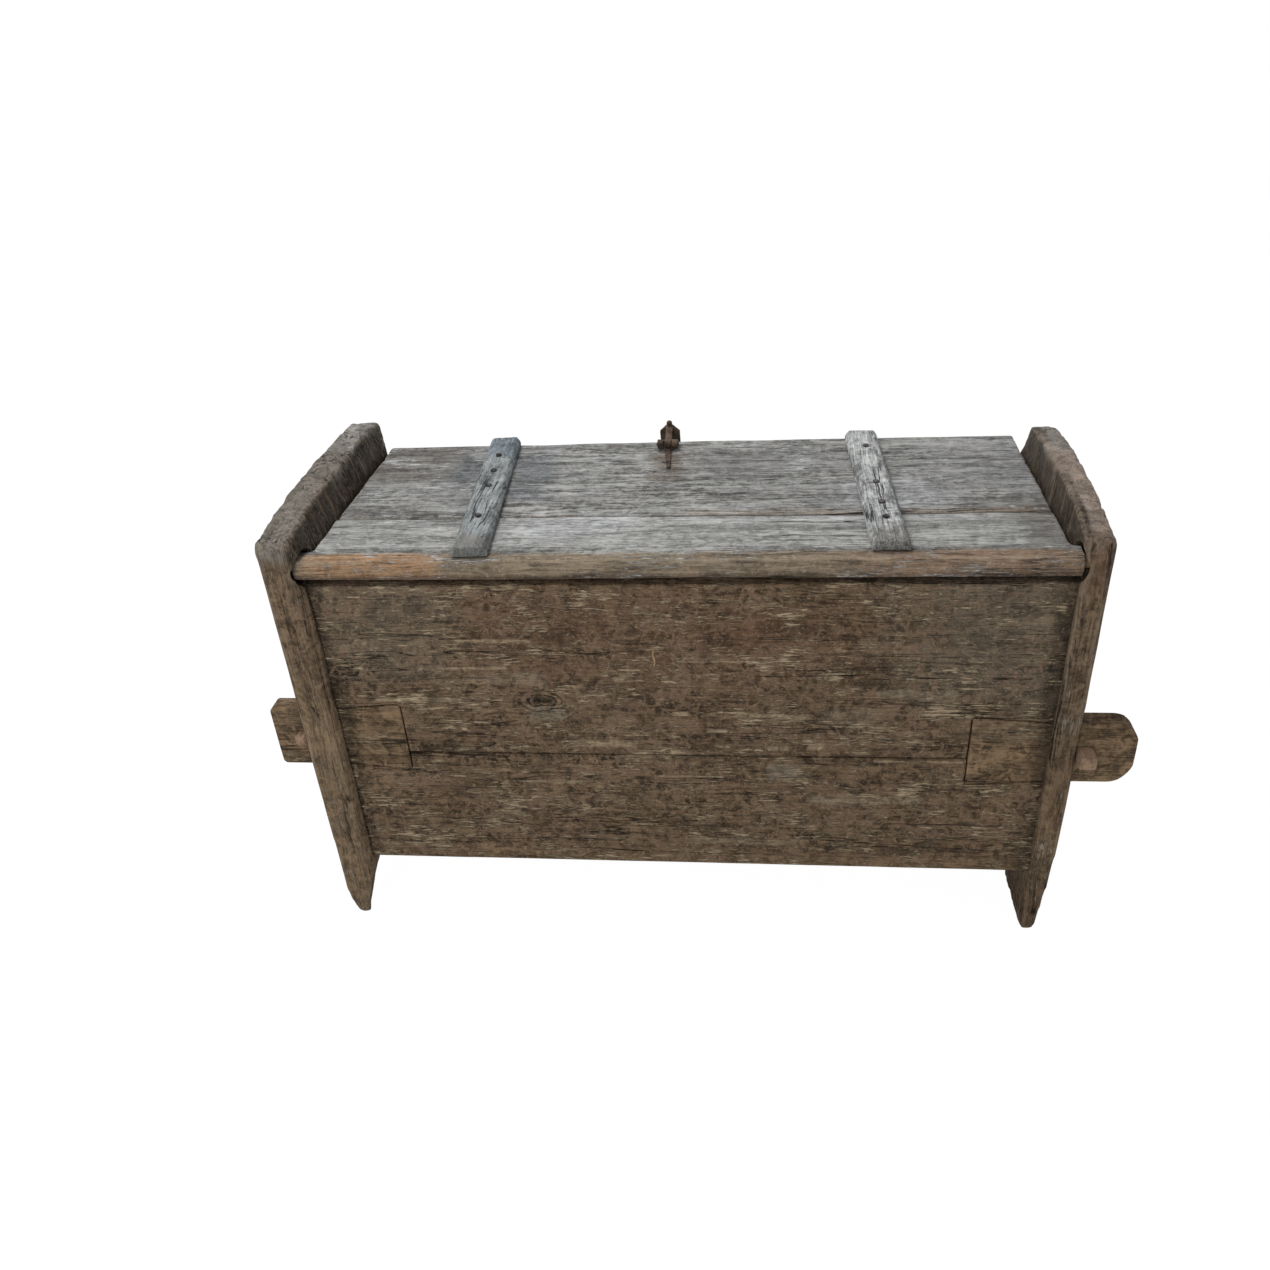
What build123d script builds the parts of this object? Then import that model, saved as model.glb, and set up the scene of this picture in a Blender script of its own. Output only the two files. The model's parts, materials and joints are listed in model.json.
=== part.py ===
# Antique pegged storage chest with a plank lid that turns on wooden pivot pins.
#
# The two end boards are heavy slabs that stand on their own feet. Each long wall is two
# boards with their ends housed in the end boards. Dovetailed blocks let into the wall ends
# pass out through the end boards and are locked outside by wooden pegs, so the case needs
# no glue. The lid is two boards held by two nailed battens. Ears on its hinge side turn in
# round pockets cut in the end boards. An iron hasp on the latch side drops over a staple.
#
# Millimetres. X runs along the chest, the hinge side is towards -Y, Z is up. The origin is
# on the floor, midway between the furthest points along X and along Y. Every piece is drawn
# with X measured from a middle line of the chest, and moved to the origin when it is saved.

import os
from math import cos, radians, sin

from build123d import *

os.makedirs("parts", exist_ok=True)

# Case
left_inner = 487.0           # from the middle line to the inner face of each end board
right_inner = 499.5
left_thickness = 57.0
right_thickness = 39.5
wall_thickness = 30.0
lid_height = 642.0           # floor to the top of the lid
left_crest = 47.0            # how far an end board stands above the lid at its highest
right_crest = 48.0
left_hinge_rise = 30.0       # the same at the hinge side corner
right_hinge_rise = 22.0
board_latch_rise = 42.0      # the same at the latch side corner
left_proud = 13.0            # an end board stands out past the lid on the hinge side, at the top
right_proud = 8.0
left_foot_proud = 8.0        # the same just above the feet
right_foot_proud = 5.0
board_latch_depth = 400.0    # from the lid's hinge edge to the end boards' latch edge
left_latch_flare = -5.0      # the latch edge at the lid, out from the edge below
right_latch_flare = -47.0
left_latch_lean = -22.0      # how far the latch edge leans back from there to its top
right_latch_lean = 22.0
shoulder_drop = 5.0          # the latch edge changes direction this far under the lid
left_bevel = 13.0            # hewn off the inner face at the board's edges, outside the walls
right_bevel = 4.5
bevel_start = 2.0            # wood left between a wall's housing and that bevel
left_lean = 13.0             # how far the inner face leans out from the lid to the crest
right_lean = 3.0
housing_depth = 12.0         # grooves for walls and floor, cut in the inner faces
corner_radius = 10.0         # top corners of the end boards
trim = 5.0                   # the hewing of a board runs past its surface by this much

# Feet and the arch between them
arch_height = 106.0          # floor to the bottom edge of an end board between its feet
foot_flat = 9.0              # worn flat under a foot
long_foot_flat = 114.0       # the right end board's hinge side foot is cut much longer
foot_spread = 44.0           # how much a foot widens from its flat up to the arch
left_toe_round = 9.0         # the toe of a hinge side foot is worn round
right_toe_round = 18.0
latch_toe_round = 6.0
toe_round_height = 22.0      # where that rounding starts
outer_toe_cut = 16.0         # worn away from the outer face at the floor
left_toe_height = 64.0       # and where that wear starts
right_toe_height = 240.0
left_inner_toe_cut = 21.0    # the same on the inner face
right_inner_toe_cut = 5.0
inner_toe_height = 105.0

# Lid
lid_overhang = 8.0           # the lid past the end boards' latch edge
lid_thickness = 34.0
lid_hinge_board_depth = 133.0
lid_joint_gap = 0.8
lid_end_gap = 2.5            # between a lid end and an end board
ear_depth = 32.0             # the lid's hinge edge strip that reaches into the pockets
left_ear_reach = 19.0        # beyond the end board's inner face
right_ear_reach = 8.0
ear_end_gap = 4.0            # from an ear's end to the bottom of its pocket
hinge_arris_radius = 10.0    # rounded so that the edge can turn over the wall
top_arris_radius = 5.0
axis_from_edge = 18.0        # pivot axis behind the lid's hinge edge
pin_radius = 8.0
pin_in_lid = 60.0
pocket_clearance = 1.0
pivot_clearance = 0.06
tight_clearance = 0.02

# Walls
hinge_wall_setback = 8.0     # wall face behind the lid's hinge edge
latch_wall_inset = 14.0      # outer face of the latch wall inside the boards' latch edge
hinge_wall_gap = 7.0         # open slit under the lid on the hinge side
lid_rest_gap = 0.3           # closed lid over the latch wall
wall_bottom = 116.0
upper_board_height = 279.0
board_joint_gap = 0.6
fit_clearance = 0.3

# Dovetailed tenon blocks and their pegs
left_block_length = 89.0     # let into the wall, measured from the end board's inner face
right_block_length = 101.5
tenon_height = 100.0
left_tenon_reach = 51.0      # beyond the end board's outer face
right_tenon_reach = 80.0
dovetail_flare = 8.0
left_tenon_rise = 77.0       # top of a tenon above the joint between the wall boards
right_tenon_rise = 63.0
left_tip_round = 7.0
right_tip_round = 20.0
peg_width = 24.0
peg_height = 20.0
peg_proud = 28.0
broken_peg_width = 19.0
broken_peg_proud = 13.0
peg_tail = 9.0
peg_bevel = 4.0

# Floor
floor_thickness = 20.0
floor_board_gap = 1.5
floor_nail_places = (-447.0, -150.0, 150.0, 447.0)
floor_nail_bite = 35.0

# Battens on the lid: place of the centre line at each end, from the lid's hinge edge
batten_width = 50.0
batten_top_width = 38.0
batten_thickness = 16.0
left_batten_start = 8.0
right_batten_start = 16.0
batten_inset = 12.0          # from a batten's end to the lid's latch edge
left_batten_hinge_x = -262.0
left_batten_latch_x = -291.0
right_batten_hinge_x = 276.0
right_batten_latch_x = 267.0
# Nails of each batten, as shares of the lid's depth from its hinge edge
left_nail_shares = (0.25, 0.498, 0.632, 0.779)
right_nail_shares = (0.206, 0.319, 0.48, 0.804)

# Wrought nails
nail_radius = 2.2
nail_hole_clearance = 0.1
nail_head_radius = 6.0
nail_head_height = 3.0
nail_head_taper = 40.0       # degrees, slope of the hammered head
clench_length = 16.0

# Iron hasp, its strap and the wall staple
hasp_x = -29.0
hasp_axis_inset = 40.0       # knuckle axis inside the lid's latch edge
hasp_axis_height = 9.0       # above the lid
hasp_raise = 20.0            # degrees that the hasp stands raised, stiff with rust
knuckle_radius = 7.5
hasp_pin_radius = 3.0
knuckle_width = 11.0
lug_width = 10.0
lug_gap = 0.5
strap_thickness = 4.0
strap_length = 72.0
strap_tip_width = 6.0
strap_skew = 6.0
strap_nail_radius = 1.5
strap_nail_head = 3.2
strap_nail_head_height = 1.6
strap_nail_places = (18.0, 50.0)
strap_clench_length = 8.0
hasp_thickness = 5.0
hasp_arm_width = 11.0
hasp_plate_width = 32.0
hasp_overhang_gap = 5.0      # hasp plate clear of the lid's edge when it is down
hasp_plate_drop = 72.0       # lower end of the plate under the lid's top
hasp_shoulder = 12.0
slot_width = 9.0
slot_height = 36.0
slot_margin = 6.0
knob_radius = 5.0
staple_wire_radius = 2.5
staple_height = 20.0
staple_projection = 42.0
staple_tail = 6.0

# Places that follow from the driving dimensions
left_outer = left_inner + left_thickness
right_outer = right_inner + right_thickness
left_tip = left_outer + left_tenon_reach
right_tip = right_outer + right_tenon_reach
left_ear = left_inner + left_ear_reach
right_ear = right_inner + right_ear_reach
inner_span = left_inner + right_inner
lid_depth = board_latch_depth + lid_overhang
batten_end = lid_depth - batten_inset
inner_middle = (right_inner - left_inner) / 2
housed_length = inner_span + 2 * (housing_depth - fit_clearance)
axis_height = lid_height - lid_thickness / 2
lid_bottom = lid_height - lid_thickness
hinge_wall_top = lid_bottom - hinge_wall_gap
latch_wall_top = lid_bottom - lid_rest_gap
latch_wall_face = board_latch_depth - latch_wall_inset
wall_joint_height = hinge_wall_top - upper_board_height
left_tenon_top = wall_joint_height + left_tenon_rise
right_tenon_top = wall_joint_height + right_tenon_rise
hasp_axis_depth = lid_depth - hasp_axis_inset


def hasp_turned(depth, height):
    """Turn a point of the closed hasp about its knuckle axis to the raised pose."""
    angle = radians(hasp_raise)
    run = depth - hasp_axis_depth
    rise = height - hasp_axis_height
    return (
        hasp_axis_depth + run * cos(angle) - rise * sin(angle),
        hasp_axis_height + run * sin(angle) + rise * cos(angle),
    )


# The raised hasp's lower end reaches furthest on the latch side, and the end boards or the
# pegs on the hinge side. The lid's hinge edge lies where Y = 0 is midway between the two.
hasp_plate_inner = lid_depth + hasp_overhang_gap
hasp_plate_outer = hasp_plate_inner + hasp_thickness
hasp_far = hasp_turned(hasp_plate_outer, -hasp_plate_drop)[0]
hinge_reach = max(left_proud, right_proud, peg_proud - hinge_wall_setback)
lid_edge = -(hasp_far - hinge_reach) / 2


# Half of the difference between the two ends puts the middle of the whole length at X = 0
lid_middle_x = (left_tip - right_tip) / 2


def save(part, name):
    placed = part.moved(Location((lid_middle_x, 0, 0)))
    placed.label = name
    export_step(placed, f"parts/{name}.step")


def inner_face(side):
    return left_inner if side < 0 else right_inner


def outer_face(side):
    return left_outer if side < 0 else right_outer


def block_outline(side, top, grow=0.0):
    """Dovetailed block seen along Y, from its inner end to its tip outside the end board."""
    bottom = top - tenon_height
    length = left_block_length if side < 0 else right_block_length
    inner_end = inner_face(side) - length - grow
    tip = (left_tip if side < 0 else right_tip) + grow
    return [
        (side * inner_end, bottom - dovetail_flare - grow),
        (side * inner_face(side), bottom - grow),
        (side * tip, bottom - grow),
        (side * tip, top + grow),
        (side * inner_face(side), top + grow),
        (side * inner_end, top + dovetail_flare + grow),
    ]


def nail(base, out, shank, sizes, bend=None, bend_length=0.0):
    """Nail whose head sits on the point base and faces out, with its tip bent over at will."""
    radius, head_radius, head_height = sizes
    start = Vector(*base)
    outwards = Vector(*out)
    with BuildPart() as piece:
        with BuildSketch(Plane(origin=start, z_dir=outwards)):
            Circle(radius)
        extrude(amount=-shank)
        with BuildSketch(Plane(origin=start, z_dir=outwards)):
            Circle(head_radius)
        extrude(amount=head_height, taper=nail_head_taper)
        if bend:
            tip = start - outwards * (shank - radius)
            with BuildSketch(Plane(origin=tip, x_dir=outwards, z_dir=Vector(*bend))):
                Rectangle(1.8 * radius, 1.5 * radius)
            extrude(amount=bend_length)
    return piece.part


def end_profile(near_foot, top, latch):
    """Outline of an end board in its YZ plane, with Y measured from the lid's hinge edge."""
    foot_proud, near_round, near_flat = near_foot
    proud, hinge_rise, crest = top
    flare, lean = latch
    hinge_corner = (-proud, lid_height + hinge_rise)
    near_edge = -foot_proud
    near_flat_start = near_edge + near_round
    near_flat_end = near_flat_start + near_flat
    far_flat_end = board_latch_depth - latch_toe_round
    far_flat_start = far_flat_end - foot_flat
    latch_edge = (board_latch_depth + flare, lid_height)
    latch_top = (board_latch_depth + flare - lean, lid_height + board_latch_rise)
    with BuildLine() as outline:
        Line(hinge_corner, (near_edge, toe_round_height))
        ThreePointArc(
            (near_edge, toe_round_height),
            (near_edge + near_round * 0.3, toe_round_height * 0.3),
            (near_flat_start, 0),
        )
        Line((near_flat_start, 0), (near_flat_end, 0))
        ThreePointArc(
            (near_flat_end, 0),
            (near_flat_end + foot_spread * 0.14, arch_height * 0.45),
            (near_flat_end + foot_spread, arch_height),
        )
        Line(
            (near_flat_end + foot_spread, arch_height),
            (far_flat_start - foot_spread, arch_height),
        )
        ThreePointArc(
            (far_flat_start - foot_spread, arch_height),
            (far_flat_start - foot_spread * 0.14, arch_height * 0.45),
            (far_flat_start, 0),
        )
        Line((far_flat_start, 0), (far_flat_end, 0))
        ThreePointArc(
            (far_flat_end, 0),
            (board_latch_depth - latch_toe_round * 0.3, toe_round_height * 0.3),
            (board_latch_depth, toe_round_height),
        )
        Line((board_latch_depth, toe_round_height), (board_latch_depth, lid_bottom - shoulder_drop))
        Line((board_latch_depth, lid_bottom - shoulder_drop), latch_edge)
        Line(latch_edge, latch_top)
        ThreePointArc(latch_top, (lid_depth / 2, lid_height + crest), hinge_corner)
    return outline.line


# The ear of the lid turns inside a round pocket
rounded_corner = Vector(axis_from_edge - top_arris_radius, lid_thickness / 2 - top_arris_radius)
square_corner = Vector(ear_depth - axis_from_edge, lid_thickness / 2)
ear_radius = max(rounded_corner.length + top_arris_radius, square_corner.length)
pocket_radius = ear_radius + pocket_clearance

# End boards. The left one has a short pointed foot on the hinge side and flares out at its
# top on the latch side. The right one has a long foot, and its latch side corner is worn back.
left_shape = (
    (left_foot_proud, left_toe_round, foot_flat),
    (left_proud, left_hinge_rise, left_crest),
    (left_latch_flare, left_latch_lean),
)
right_shape = (
    (right_foot_proud, right_toe_round, long_foot_flat),
    (right_proud, right_hinge_rise, right_crest),
    (right_latch_flare, right_latch_lean),
)
left_wear = (left_toe_height, left_inner_toe_cut, left_bevel, left_lean, left_ear_reach)
right_wear = (right_toe_height, right_inner_toe_cut, right_bevel, right_lean, right_ear_reach)
end_boards = (
    ("left_end_board", -1, left_tenon_top, left_shape, left_wear),
    ("right_end_board", 1, right_tenon_top, right_shape, right_wear),
)
for name, side, tenon_top, shape, wear in end_boards:
    toe_height, inner_toe_cut, bevel, lean, ear_reach = wear
    proud, hinge_rise, crest = shape[1]
    inner_x = side * inner_face(side)
    outer_x = side * outer_face(side)
    through = outer_x - inner_x
    inner_plane = Plane(origin=(inner_x, lid_edge, 0), x_dir=(0, 1, 0), z_dir=(1, 0, 0))
    with BuildPart() as end_board:
        with BuildSketch(inner_plane):
            add(end_profile(*shape))
            make_face()
        extrude(amount=through)
        top_corners = end_board.edges().filter_by(Axis.X).group_by(Axis.Z)[-2:]
        fillet([corner for group in top_corners for corner in group], corner_radius)

        # Bevels down the inner arrises, outside the two walls
        bevel_x = inner_x + side * bevel
        clear_x = inner_x - side * trim
        crest_z = lid_height + crest
        near_y = lid_edge - proud
        far_y = lid_edge + board_latch_depth
        for wall_y, edge_y, past_y, bevel_height in (
            (
                lid_edge + hinge_wall_setback - bevel_start,
                near_y,
                near_y - trim,
                crest_z + trim,
            ),
            (
                lid_edge + latch_wall_face + bevel_start,
                far_y,
                far_y + trim,
                lid_bottom - shoulder_drop,
            ),
        ):
            with BuildSketch(Plane.XY.offset(-trim)):
                with BuildLine():
                    Polyline(
                        (clear_x, wall_y),
                        (inner_x, wall_y),
                        (bevel_x, edge_y),
                        (bevel_x, past_y),
                        (clear_x, past_y),
                        close=True,
                    )
                make_face()
            extrude(amount=bevel_height + trim, mode=Mode.SUBTRACT)

        # Above the lid the inner face leans outwards
        board_run = board_latch_depth + proud + abs(left_latch_lean) + 3 * trim
        with BuildSketch(Plane.XZ.offset(trim - near_y)):
            with BuildLine():
                Polyline(
                    (clear_x, lid_height),
                    (inner_x, lid_height),
                    (inner_x + side * lean, crest_z),
                    (inner_x + side * lean, crest_z + trim),
                    (clear_x, crest_z + trim),
                    close=True,
                )
            make_face()
        extrude(amount=-board_run, mode=Mode.SUBTRACT)

        # Round pocket in which the lid's ear turns, and the hole for its pin
        with BuildSketch(inner_plane):
            with Locations((axis_from_edge, axis_height)):
                Circle(pocket_radius)
        extrude(amount=side * (ear_reach + ear_end_gap), mode=Mode.SUBTRACT)
        with BuildSketch(inner_plane):
            with Locations((axis_from_edge, axis_height)):
                Circle(pin_radius + pivot_clearance)
        extrude(amount=through, mode=Mode.SUBTRACT)

        # Housings for the two walls and the floor
        with BuildSketch(inner_plane):
            for wall_face, wall_top in (
                (hinge_wall_setback, hinge_wall_top),
                (latch_wall_face - wall_thickness, latch_wall_top),
            ):
                with Locations((wall_face - fit_clearance, wall_bottom - fit_clearance)):
                    Rectangle(
                        wall_thickness + 2 * fit_clearance,
                        wall_top - wall_bottom + 2 * fit_clearance,
                        align=(Align.MIN, Align.MIN),
                    )
            with Locations((hinge_wall_setback, wall_bottom - fit_clearance)):
                Rectangle(
                    latch_wall_face - hinge_wall_setback,
                    floor_thickness + 2 * fit_clearance,
                    align=(Align.MIN, Align.MIN),
                )
        extrude(amount=side * housing_depth, mode=Mode.SUBTRACT)

        # Through mortises for the tenons
        with BuildSketch(inner_plane):
            for wall_face in (hinge_wall_setback, latch_wall_face - wall_thickness):
                with Locations((wall_face - fit_clearance, tenon_top + fit_clearance)):
                    Rectangle(
                        wall_thickness + 2 * fit_clearance,
                        tenon_height + 2 * fit_clearance,
                        align=(Align.MIN, Align.MAX),
                    )
        extrude(amount=through, mode=Mode.SUBTRACT)

        # The boards are worn thinner towards the floor, from the outside and the inside
        for face_x, past_x, cut, height, fullness in (
            (outer_x, outer_x + side * trim, -side * outer_toe_cut, toe_height, 0.34),
            (inner_x, clear_x, side * inner_toe_cut, inner_toe_height, 0.75),
        ):
            with BuildSketch(Plane.XZ.offset(trim - near_y)):
                with BuildLine():
                    Line((face_x, height), (past_x, height))
                    Line((past_x, height), (past_x, -trim))
                    Line((past_x, -trim), (face_x + cut, -trim))
                    Line((face_x + cut, -trim), (face_x + cut, 0))
                    ThreePointArc(
                        (face_x + cut, 0),
                        (face_x + cut * fullness, height * 0.44),
                        (face_x, height),
                    )
                make_face()
            extrude(amount=-board_run, mode=Mode.SUBTRACT)
    save(end_board.part, name)


def outer_side_plane(near):
    """Plane of a wall's outer face, with its X along the chest and its Z out of the case."""
    if near:
        return Plane(origin=(0, lid_edge + hinge_wall_setback, 0), x_dir=(1, 0, 0), z_dir=(0, -1, 0))
    return Plane(origin=(0, lid_edge + latch_wall_face, 0), x_dir=(-1, 0, 0), z_dir=(0, 1, 0))


def wall_point(near, x, height):
    """A point at x on a wall's outer plane. That plane's X points backwards on the far side."""
    return (x if near else -x, height)


# Walls: an upper and a lower board each, notched at both ends for the tenon blocks
walls = (("hinge_wall", True, hinge_wall_top), ("latch_wall", False, latch_wall_top))
for wall_name, near, wall_top in walls:
    plane = outer_side_plane(near)
    boards = (
        ("lower_board", wall_bottom, wall_joint_height - board_joint_gap / 2),
        ("upper_board", wall_joint_height + board_joint_gap / 2, wall_top),
    )
    for board_name, bottom, top in boards:
        with BuildPart() as wall_board:
            with BuildSketch(plane):
                with Locations(wall_point(near, inner_middle, (bottom + top) / 2)):
                    Rectangle(housed_length, top - bottom)
                for side, tenon_top in ((-1, left_tenon_top), (1, right_tenon_top)):
                    notch = block_outline(side, tenon_top, grow=fit_clearance)
                    with BuildLine(mode=Mode.PRIVATE) as notch_line:
                        corners = [wall_point(near, x, z) for x, z in notch]
                        Polyline(*corners, close=True)
                    make_face(notch_line.line, mode=Mode.SUBTRACT)
            extrude(amount=-wall_thickness)
            if board_name == "lower_board":
                with BuildSketch(plane):
                    nail_height = wall_bottom + floor_thickness / 2
                    with Locations(*[(x, nail_height) for x in floor_nail_places]):
                        Circle(nail_radius + nail_hole_clearance)
                extrude(amount=-wall_thickness, mode=Mode.SUBTRACT)
            if wall_name == "latch_wall" and board_name == "upper_board":
                staple_z = lid_height - hasp_plate_drop + slot_margin + slot_height / 2
                leg_offset = staple_height / 2 - staple_wire_radius
                legs = [
                    wall_point(near, hasp_x, staple_z + leg_offset),
                    wall_point(near, hasp_x, staple_z - leg_offset),
                ]
                with BuildSketch(plane):
                    with Locations(*legs):
                        Circle(staple_wire_radius + nail_hole_clearance)
                extrude(amount=-wall_thickness, mode=Mode.SUBTRACT)
        save(wall_board.part, f"{wall_name}_{board_name}")

# Tenon blocks and pegs, one of each at every corner of the case
for wall_name, near, wall_top in walls:
    plane = outer_side_plane(near)
    for end_name, side, tenon_top, tip_round in (
        ("left", -1, left_tenon_top, left_tip_round),
        ("right", 1, right_tenon_top, right_tip_round),
    ):
        broken = near and side < 0
        width = broken_peg_width if broken else peg_width
        proud = broken_peg_proud if broken else peg_proud
        peg_x = side * (outer_face(side) + width / 2)
        peg_z = tenon_top - tenon_height / 2
        with BuildPart() as tenon_block:
            with BuildSketch(plane):
                with BuildLine():
                    outline = block_outline(side, tenon_top)
                    Polyline(*[wall_point(near, x, z) for x, z in outline], close=True)
                make_face()
            extrude(amount=-wall_thickness)
            tip_edges = tenon_block.edges().filter_by(Axis.Y).group_by(Axis.X)[0 if side < 0 else -1]
            fillet(tip_edges, tip_round)
            with BuildSketch(plane):
                with Locations(wall_point(near, peg_x, peg_z)):
                    Rectangle(width + 2 * fit_clearance, peg_height + 2 * fit_clearance)
            extrude(amount=-wall_thickness, mode=Mode.SUBTRACT)
        block_name = wall_name.split("_", maxsplit=1)[0]
        save(tenon_block.part, f"{block_name}_{end_name}_tenon_block")

        with BuildPart() as peg:
            with BuildSketch(plane.offset(proud)):
                with Locations(wall_point(near, peg_x, peg_z)):
                    Rectangle(width, peg_height)
            extrude(amount=-(proud + wall_thickness + peg_tail))
            end_faces = peg.faces().filter_by(Axis.Y)
            chamfer(end_faces.edges(), peg_bevel)
        save(peg.part, f"{block_name}_{end_name}_peg")

# Floor boards between the walls, their ends in the floor housings
floor_start = hinge_wall_setback + wall_thickness
floor_room = latch_wall_face - wall_thickness - floor_start
floor_names = ("floor_board_hinge_side", "floor_board_middle", "floor_board_latch_side")
floor_board_width = (floor_room - (len(floor_names) - 1) * floor_board_gap) / len(floor_names)
for index, name in enumerate(floor_names):
    start = floor_start + index * (floor_board_width + floor_board_gap)
    with BuildPart() as floor_board:
        with BuildSketch(Plane.XY.offset(wall_bottom)):
            with Locations((inner_middle, lid_edge + start + floor_board_width / 2)):
                Rectangle(housed_length, floor_board_width)
        extrude(amount=floor_thickness)
        for near, nailed in ((True, index == 0), (False, index == len(floor_names) - 1)):
            if nailed:
                plane = outer_side_plane(near)
                with BuildSketch(plane.offset(-wall_thickness)):
                    nail_height = wall_bottom + floor_thickness / 2
                    with Locations(*[(x, nail_height) for x in floor_nail_places]):
                        Circle(nail_radius + nail_hole_clearance)
                extrude(amount=-(floor_nail_bite + nail_hole_clearance), mode=Mode.SUBTRACT)
    save(floor_board.part, name)

# Nails through the lower wall boards into the floor's edges
nail_sizes = (nail_radius, nail_head_radius, nail_head_height)
with BuildPart() as floor_nails:
    for near in (True, False):
        plane = outer_side_plane(near)
        for x in floor_nail_places:
            base = plane.from_local_coords(Vector(x, wall_bottom + floor_thickness / 2, 0))
            add(nail(base, plane.z_dir, wall_thickness + floor_nail_bite, nail_sizes))
save(floor_nails.part, "floor_nails")


def batten_line(ends, depth):
    """X of a batten's centre line at a depth from the lid's hinge edge."""
    hinge_x, latch_x, batten_start = ends
    share = (depth - batten_start) / (batten_end - batten_start)
    return hinge_x + share * (latch_x - hinge_x)


left_batten = (left_batten_hinge_x, left_batten_latch_x, left_batten_start)
right_batten = (right_batten_hinge_x, right_batten_latch_x, right_batten_start)
battens = (("left", left_batten, left_nail_shares), ("right", right_batten, right_nail_shares))
batten_nail_points = {
    name: [(batten_line(ends, share * lid_depth), lid_edge + share * lid_depth) for share in shares]
    for name, ends, shares in battens
}
all_batten_nails = batten_nail_points["left"] + batten_nail_points["right"]

# The strap's tail points at the hinge side and leans a little to the right
strap_start = hasp_axis_depth - knuckle_radius
strap_nail_points = [
    (hasp_x + strap_skew * place / strap_length, lid_edge + strap_start - place)
    for place in strap_nail_places
]

# Lid: hinge board with its two ears
lid_length = inner_span - 2 * lid_end_gap
with BuildPart() as lid_hinge_board:
    with BuildSketch(Plane.XY.offset(lid_height)):
        with Locations((inner_middle, lid_edge)):
            Rectangle(
                lid_length,
                lid_hinge_board_depth - lid_joint_gap / 2,
                align=(Align.CENTER, Align.MIN),
            )
        with Locations((-left_ear, lid_edge)):
            Rectangle(left_ear + right_ear, ear_depth, align=(Align.MIN, Align.MIN))
    extrude(amount=-lid_thickness)
    long_edges = lid_hinge_board.edges().filter_by(Axis.X).group_by(Axis.Y)[0]
    fillet(long_edges.sort_by(Axis.Z)[0], hinge_arris_radius)
    long_edges = lid_hinge_board.edges().filter_by(Axis.X).group_by(Axis.Y)[0]
    fillet(long_edges.sort_by(Axis.Z)[-1], top_arris_radius)
    for side, ear_end in ((-1, left_ear), (1, right_ear)):
        pin_plane = Plane(
            origin=(side * ear_end, lid_edge + axis_from_edge, axis_height),
            x_dir=(0, 1, 0),
            z_dir=(side, 0, 0),
        )
        with BuildSketch(pin_plane):
            Circle(pin_radius + tight_clearance)
        extrude(amount=-pin_in_lid, mode=Mode.SUBTRACT)
    shallow_nails = [p for p in all_batten_nails if p[1] < lid_edge + lid_hinge_board_depth]
    with BuildSketch(Plane.XY.offset(lid_height)):
        with Locations(*shallow_nails):
            Circle(nail_radius + nail_hole_clearance)
    extrude(amount=-lid_thickness, mode=Mode.SUBTRACT)
save(lid_hinge_board.part, "lid_hinge_board")

# Lid: latch board
with BuildPart() as lid_latch_board:
    board_start = lid_hinge_board_depth + lid_joint_gap / 2
    with BuildSketch(Plane.XY.offset(lid_height)):
        with Locations((inner_middle, lid_edge + board_start)):
            Rectangle(lid_length, lid_depth - board_start, align=(Align.CENTER, Align.MIN))
    extrude(amount=-lid_thickness)
    far_edges = lid_latch_board.edges().filter_by(Axis.X).group_by(Axis.Y)[-1]
    fillet(far_edges, top_arris_radius)
    deep_nails = [p for p in all_batten_nails if p[1] > lid_edge + lid_hinge_board_depth]
    with BuildSketch(Plane.XY.offset(lid_height)):
        with Locations(*deep_nails):
            Circle(nail_radius + nail_hole_clearance)
        with Locations(*strap_nail_points):
            Circle(strap_nail_radius + nail_hole_clearance)
    extrude(amount=-lid_thickness, mode=Mode.SUBTRACT)
save(lid_latch_board.part, "lid_latch_board")

# Battens across the lid, bevelled along both edges, nailed on a little askew
for name, (hinge_x, latch_x, batten_start), shares in battens:
    start = Vector(hinge_x, lid_edge + batten_start, lid_height)
    end = Vector(latch_x, lid_edge + batten_end, lid_height)
    along = (end - start).normalized()
    across = Vector(0, 0, 1).cross(along)
    with BuildPart() as batten:
        with BuildSketch(Plane(origin=start, x_dir=across, z_dir=along)):
            half = batten_width / 2
            half_top = batten_top_width / 2
            bevel_height = batten_thickness * 0.45
            with BuildLine():
                Polyline(
                    (-half, 0),
                    (half, 0),
                    (half, bevel_height),
                    (half_top, batten_thickness),
                    (-half_top, batten_thickness),
                    (-half, bevel_height),
                    close=True,
                )
            make_face()
        extrude(amount=(end - start).length)
        with BuildSketch(Plane.XY.offset(lid_height)):
            with Locations(*batten_nail_points[name]):
                Circle(nail_radius + nail_hole_clearance)
        extrude(amount=batten_thickness, mode=Mode.SUBTRACT)
    save(batten.part, f"{name}_lid_batten")

    with BuildPart() as batten_nails:
        shank = batten_thickness + lid_thickness + 2 * nail_radius
        for x, y in batten_nail_points[name]:
            base = (x, y, lid_height + batten_thickness)
            add(nail(base, (0, 0, 1), shank, nail_sizes, (0, 1, 0), clench_length))
    save(batten_nails.part, f"{name}_batten_nails")

# Wooden pivot pins, tight in the lid and free to turn in the end boards
for name, side, ear_end in (("left_pivot_pin", -1, left_ear), ("right_pivot_pin", 1, right_ear)):
    with BuildPart() as pivot_pin:
        pin_plane = Plane(
            origin=(side * outer_face(side), lid_edge + axis_from_edge, axis_height),
            x_dir=(0, 1, 0),
            z_dir=(side, 0, 0),
        )
        with BuildSketch(pin_plane):
            Circle(pin_radius)
        pin_length = outer_face(side) - ear_end + pin_in_lid - fit_clearance
        extrude(amount=-pin_length)
    save(pivot_pin.part, name)

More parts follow.
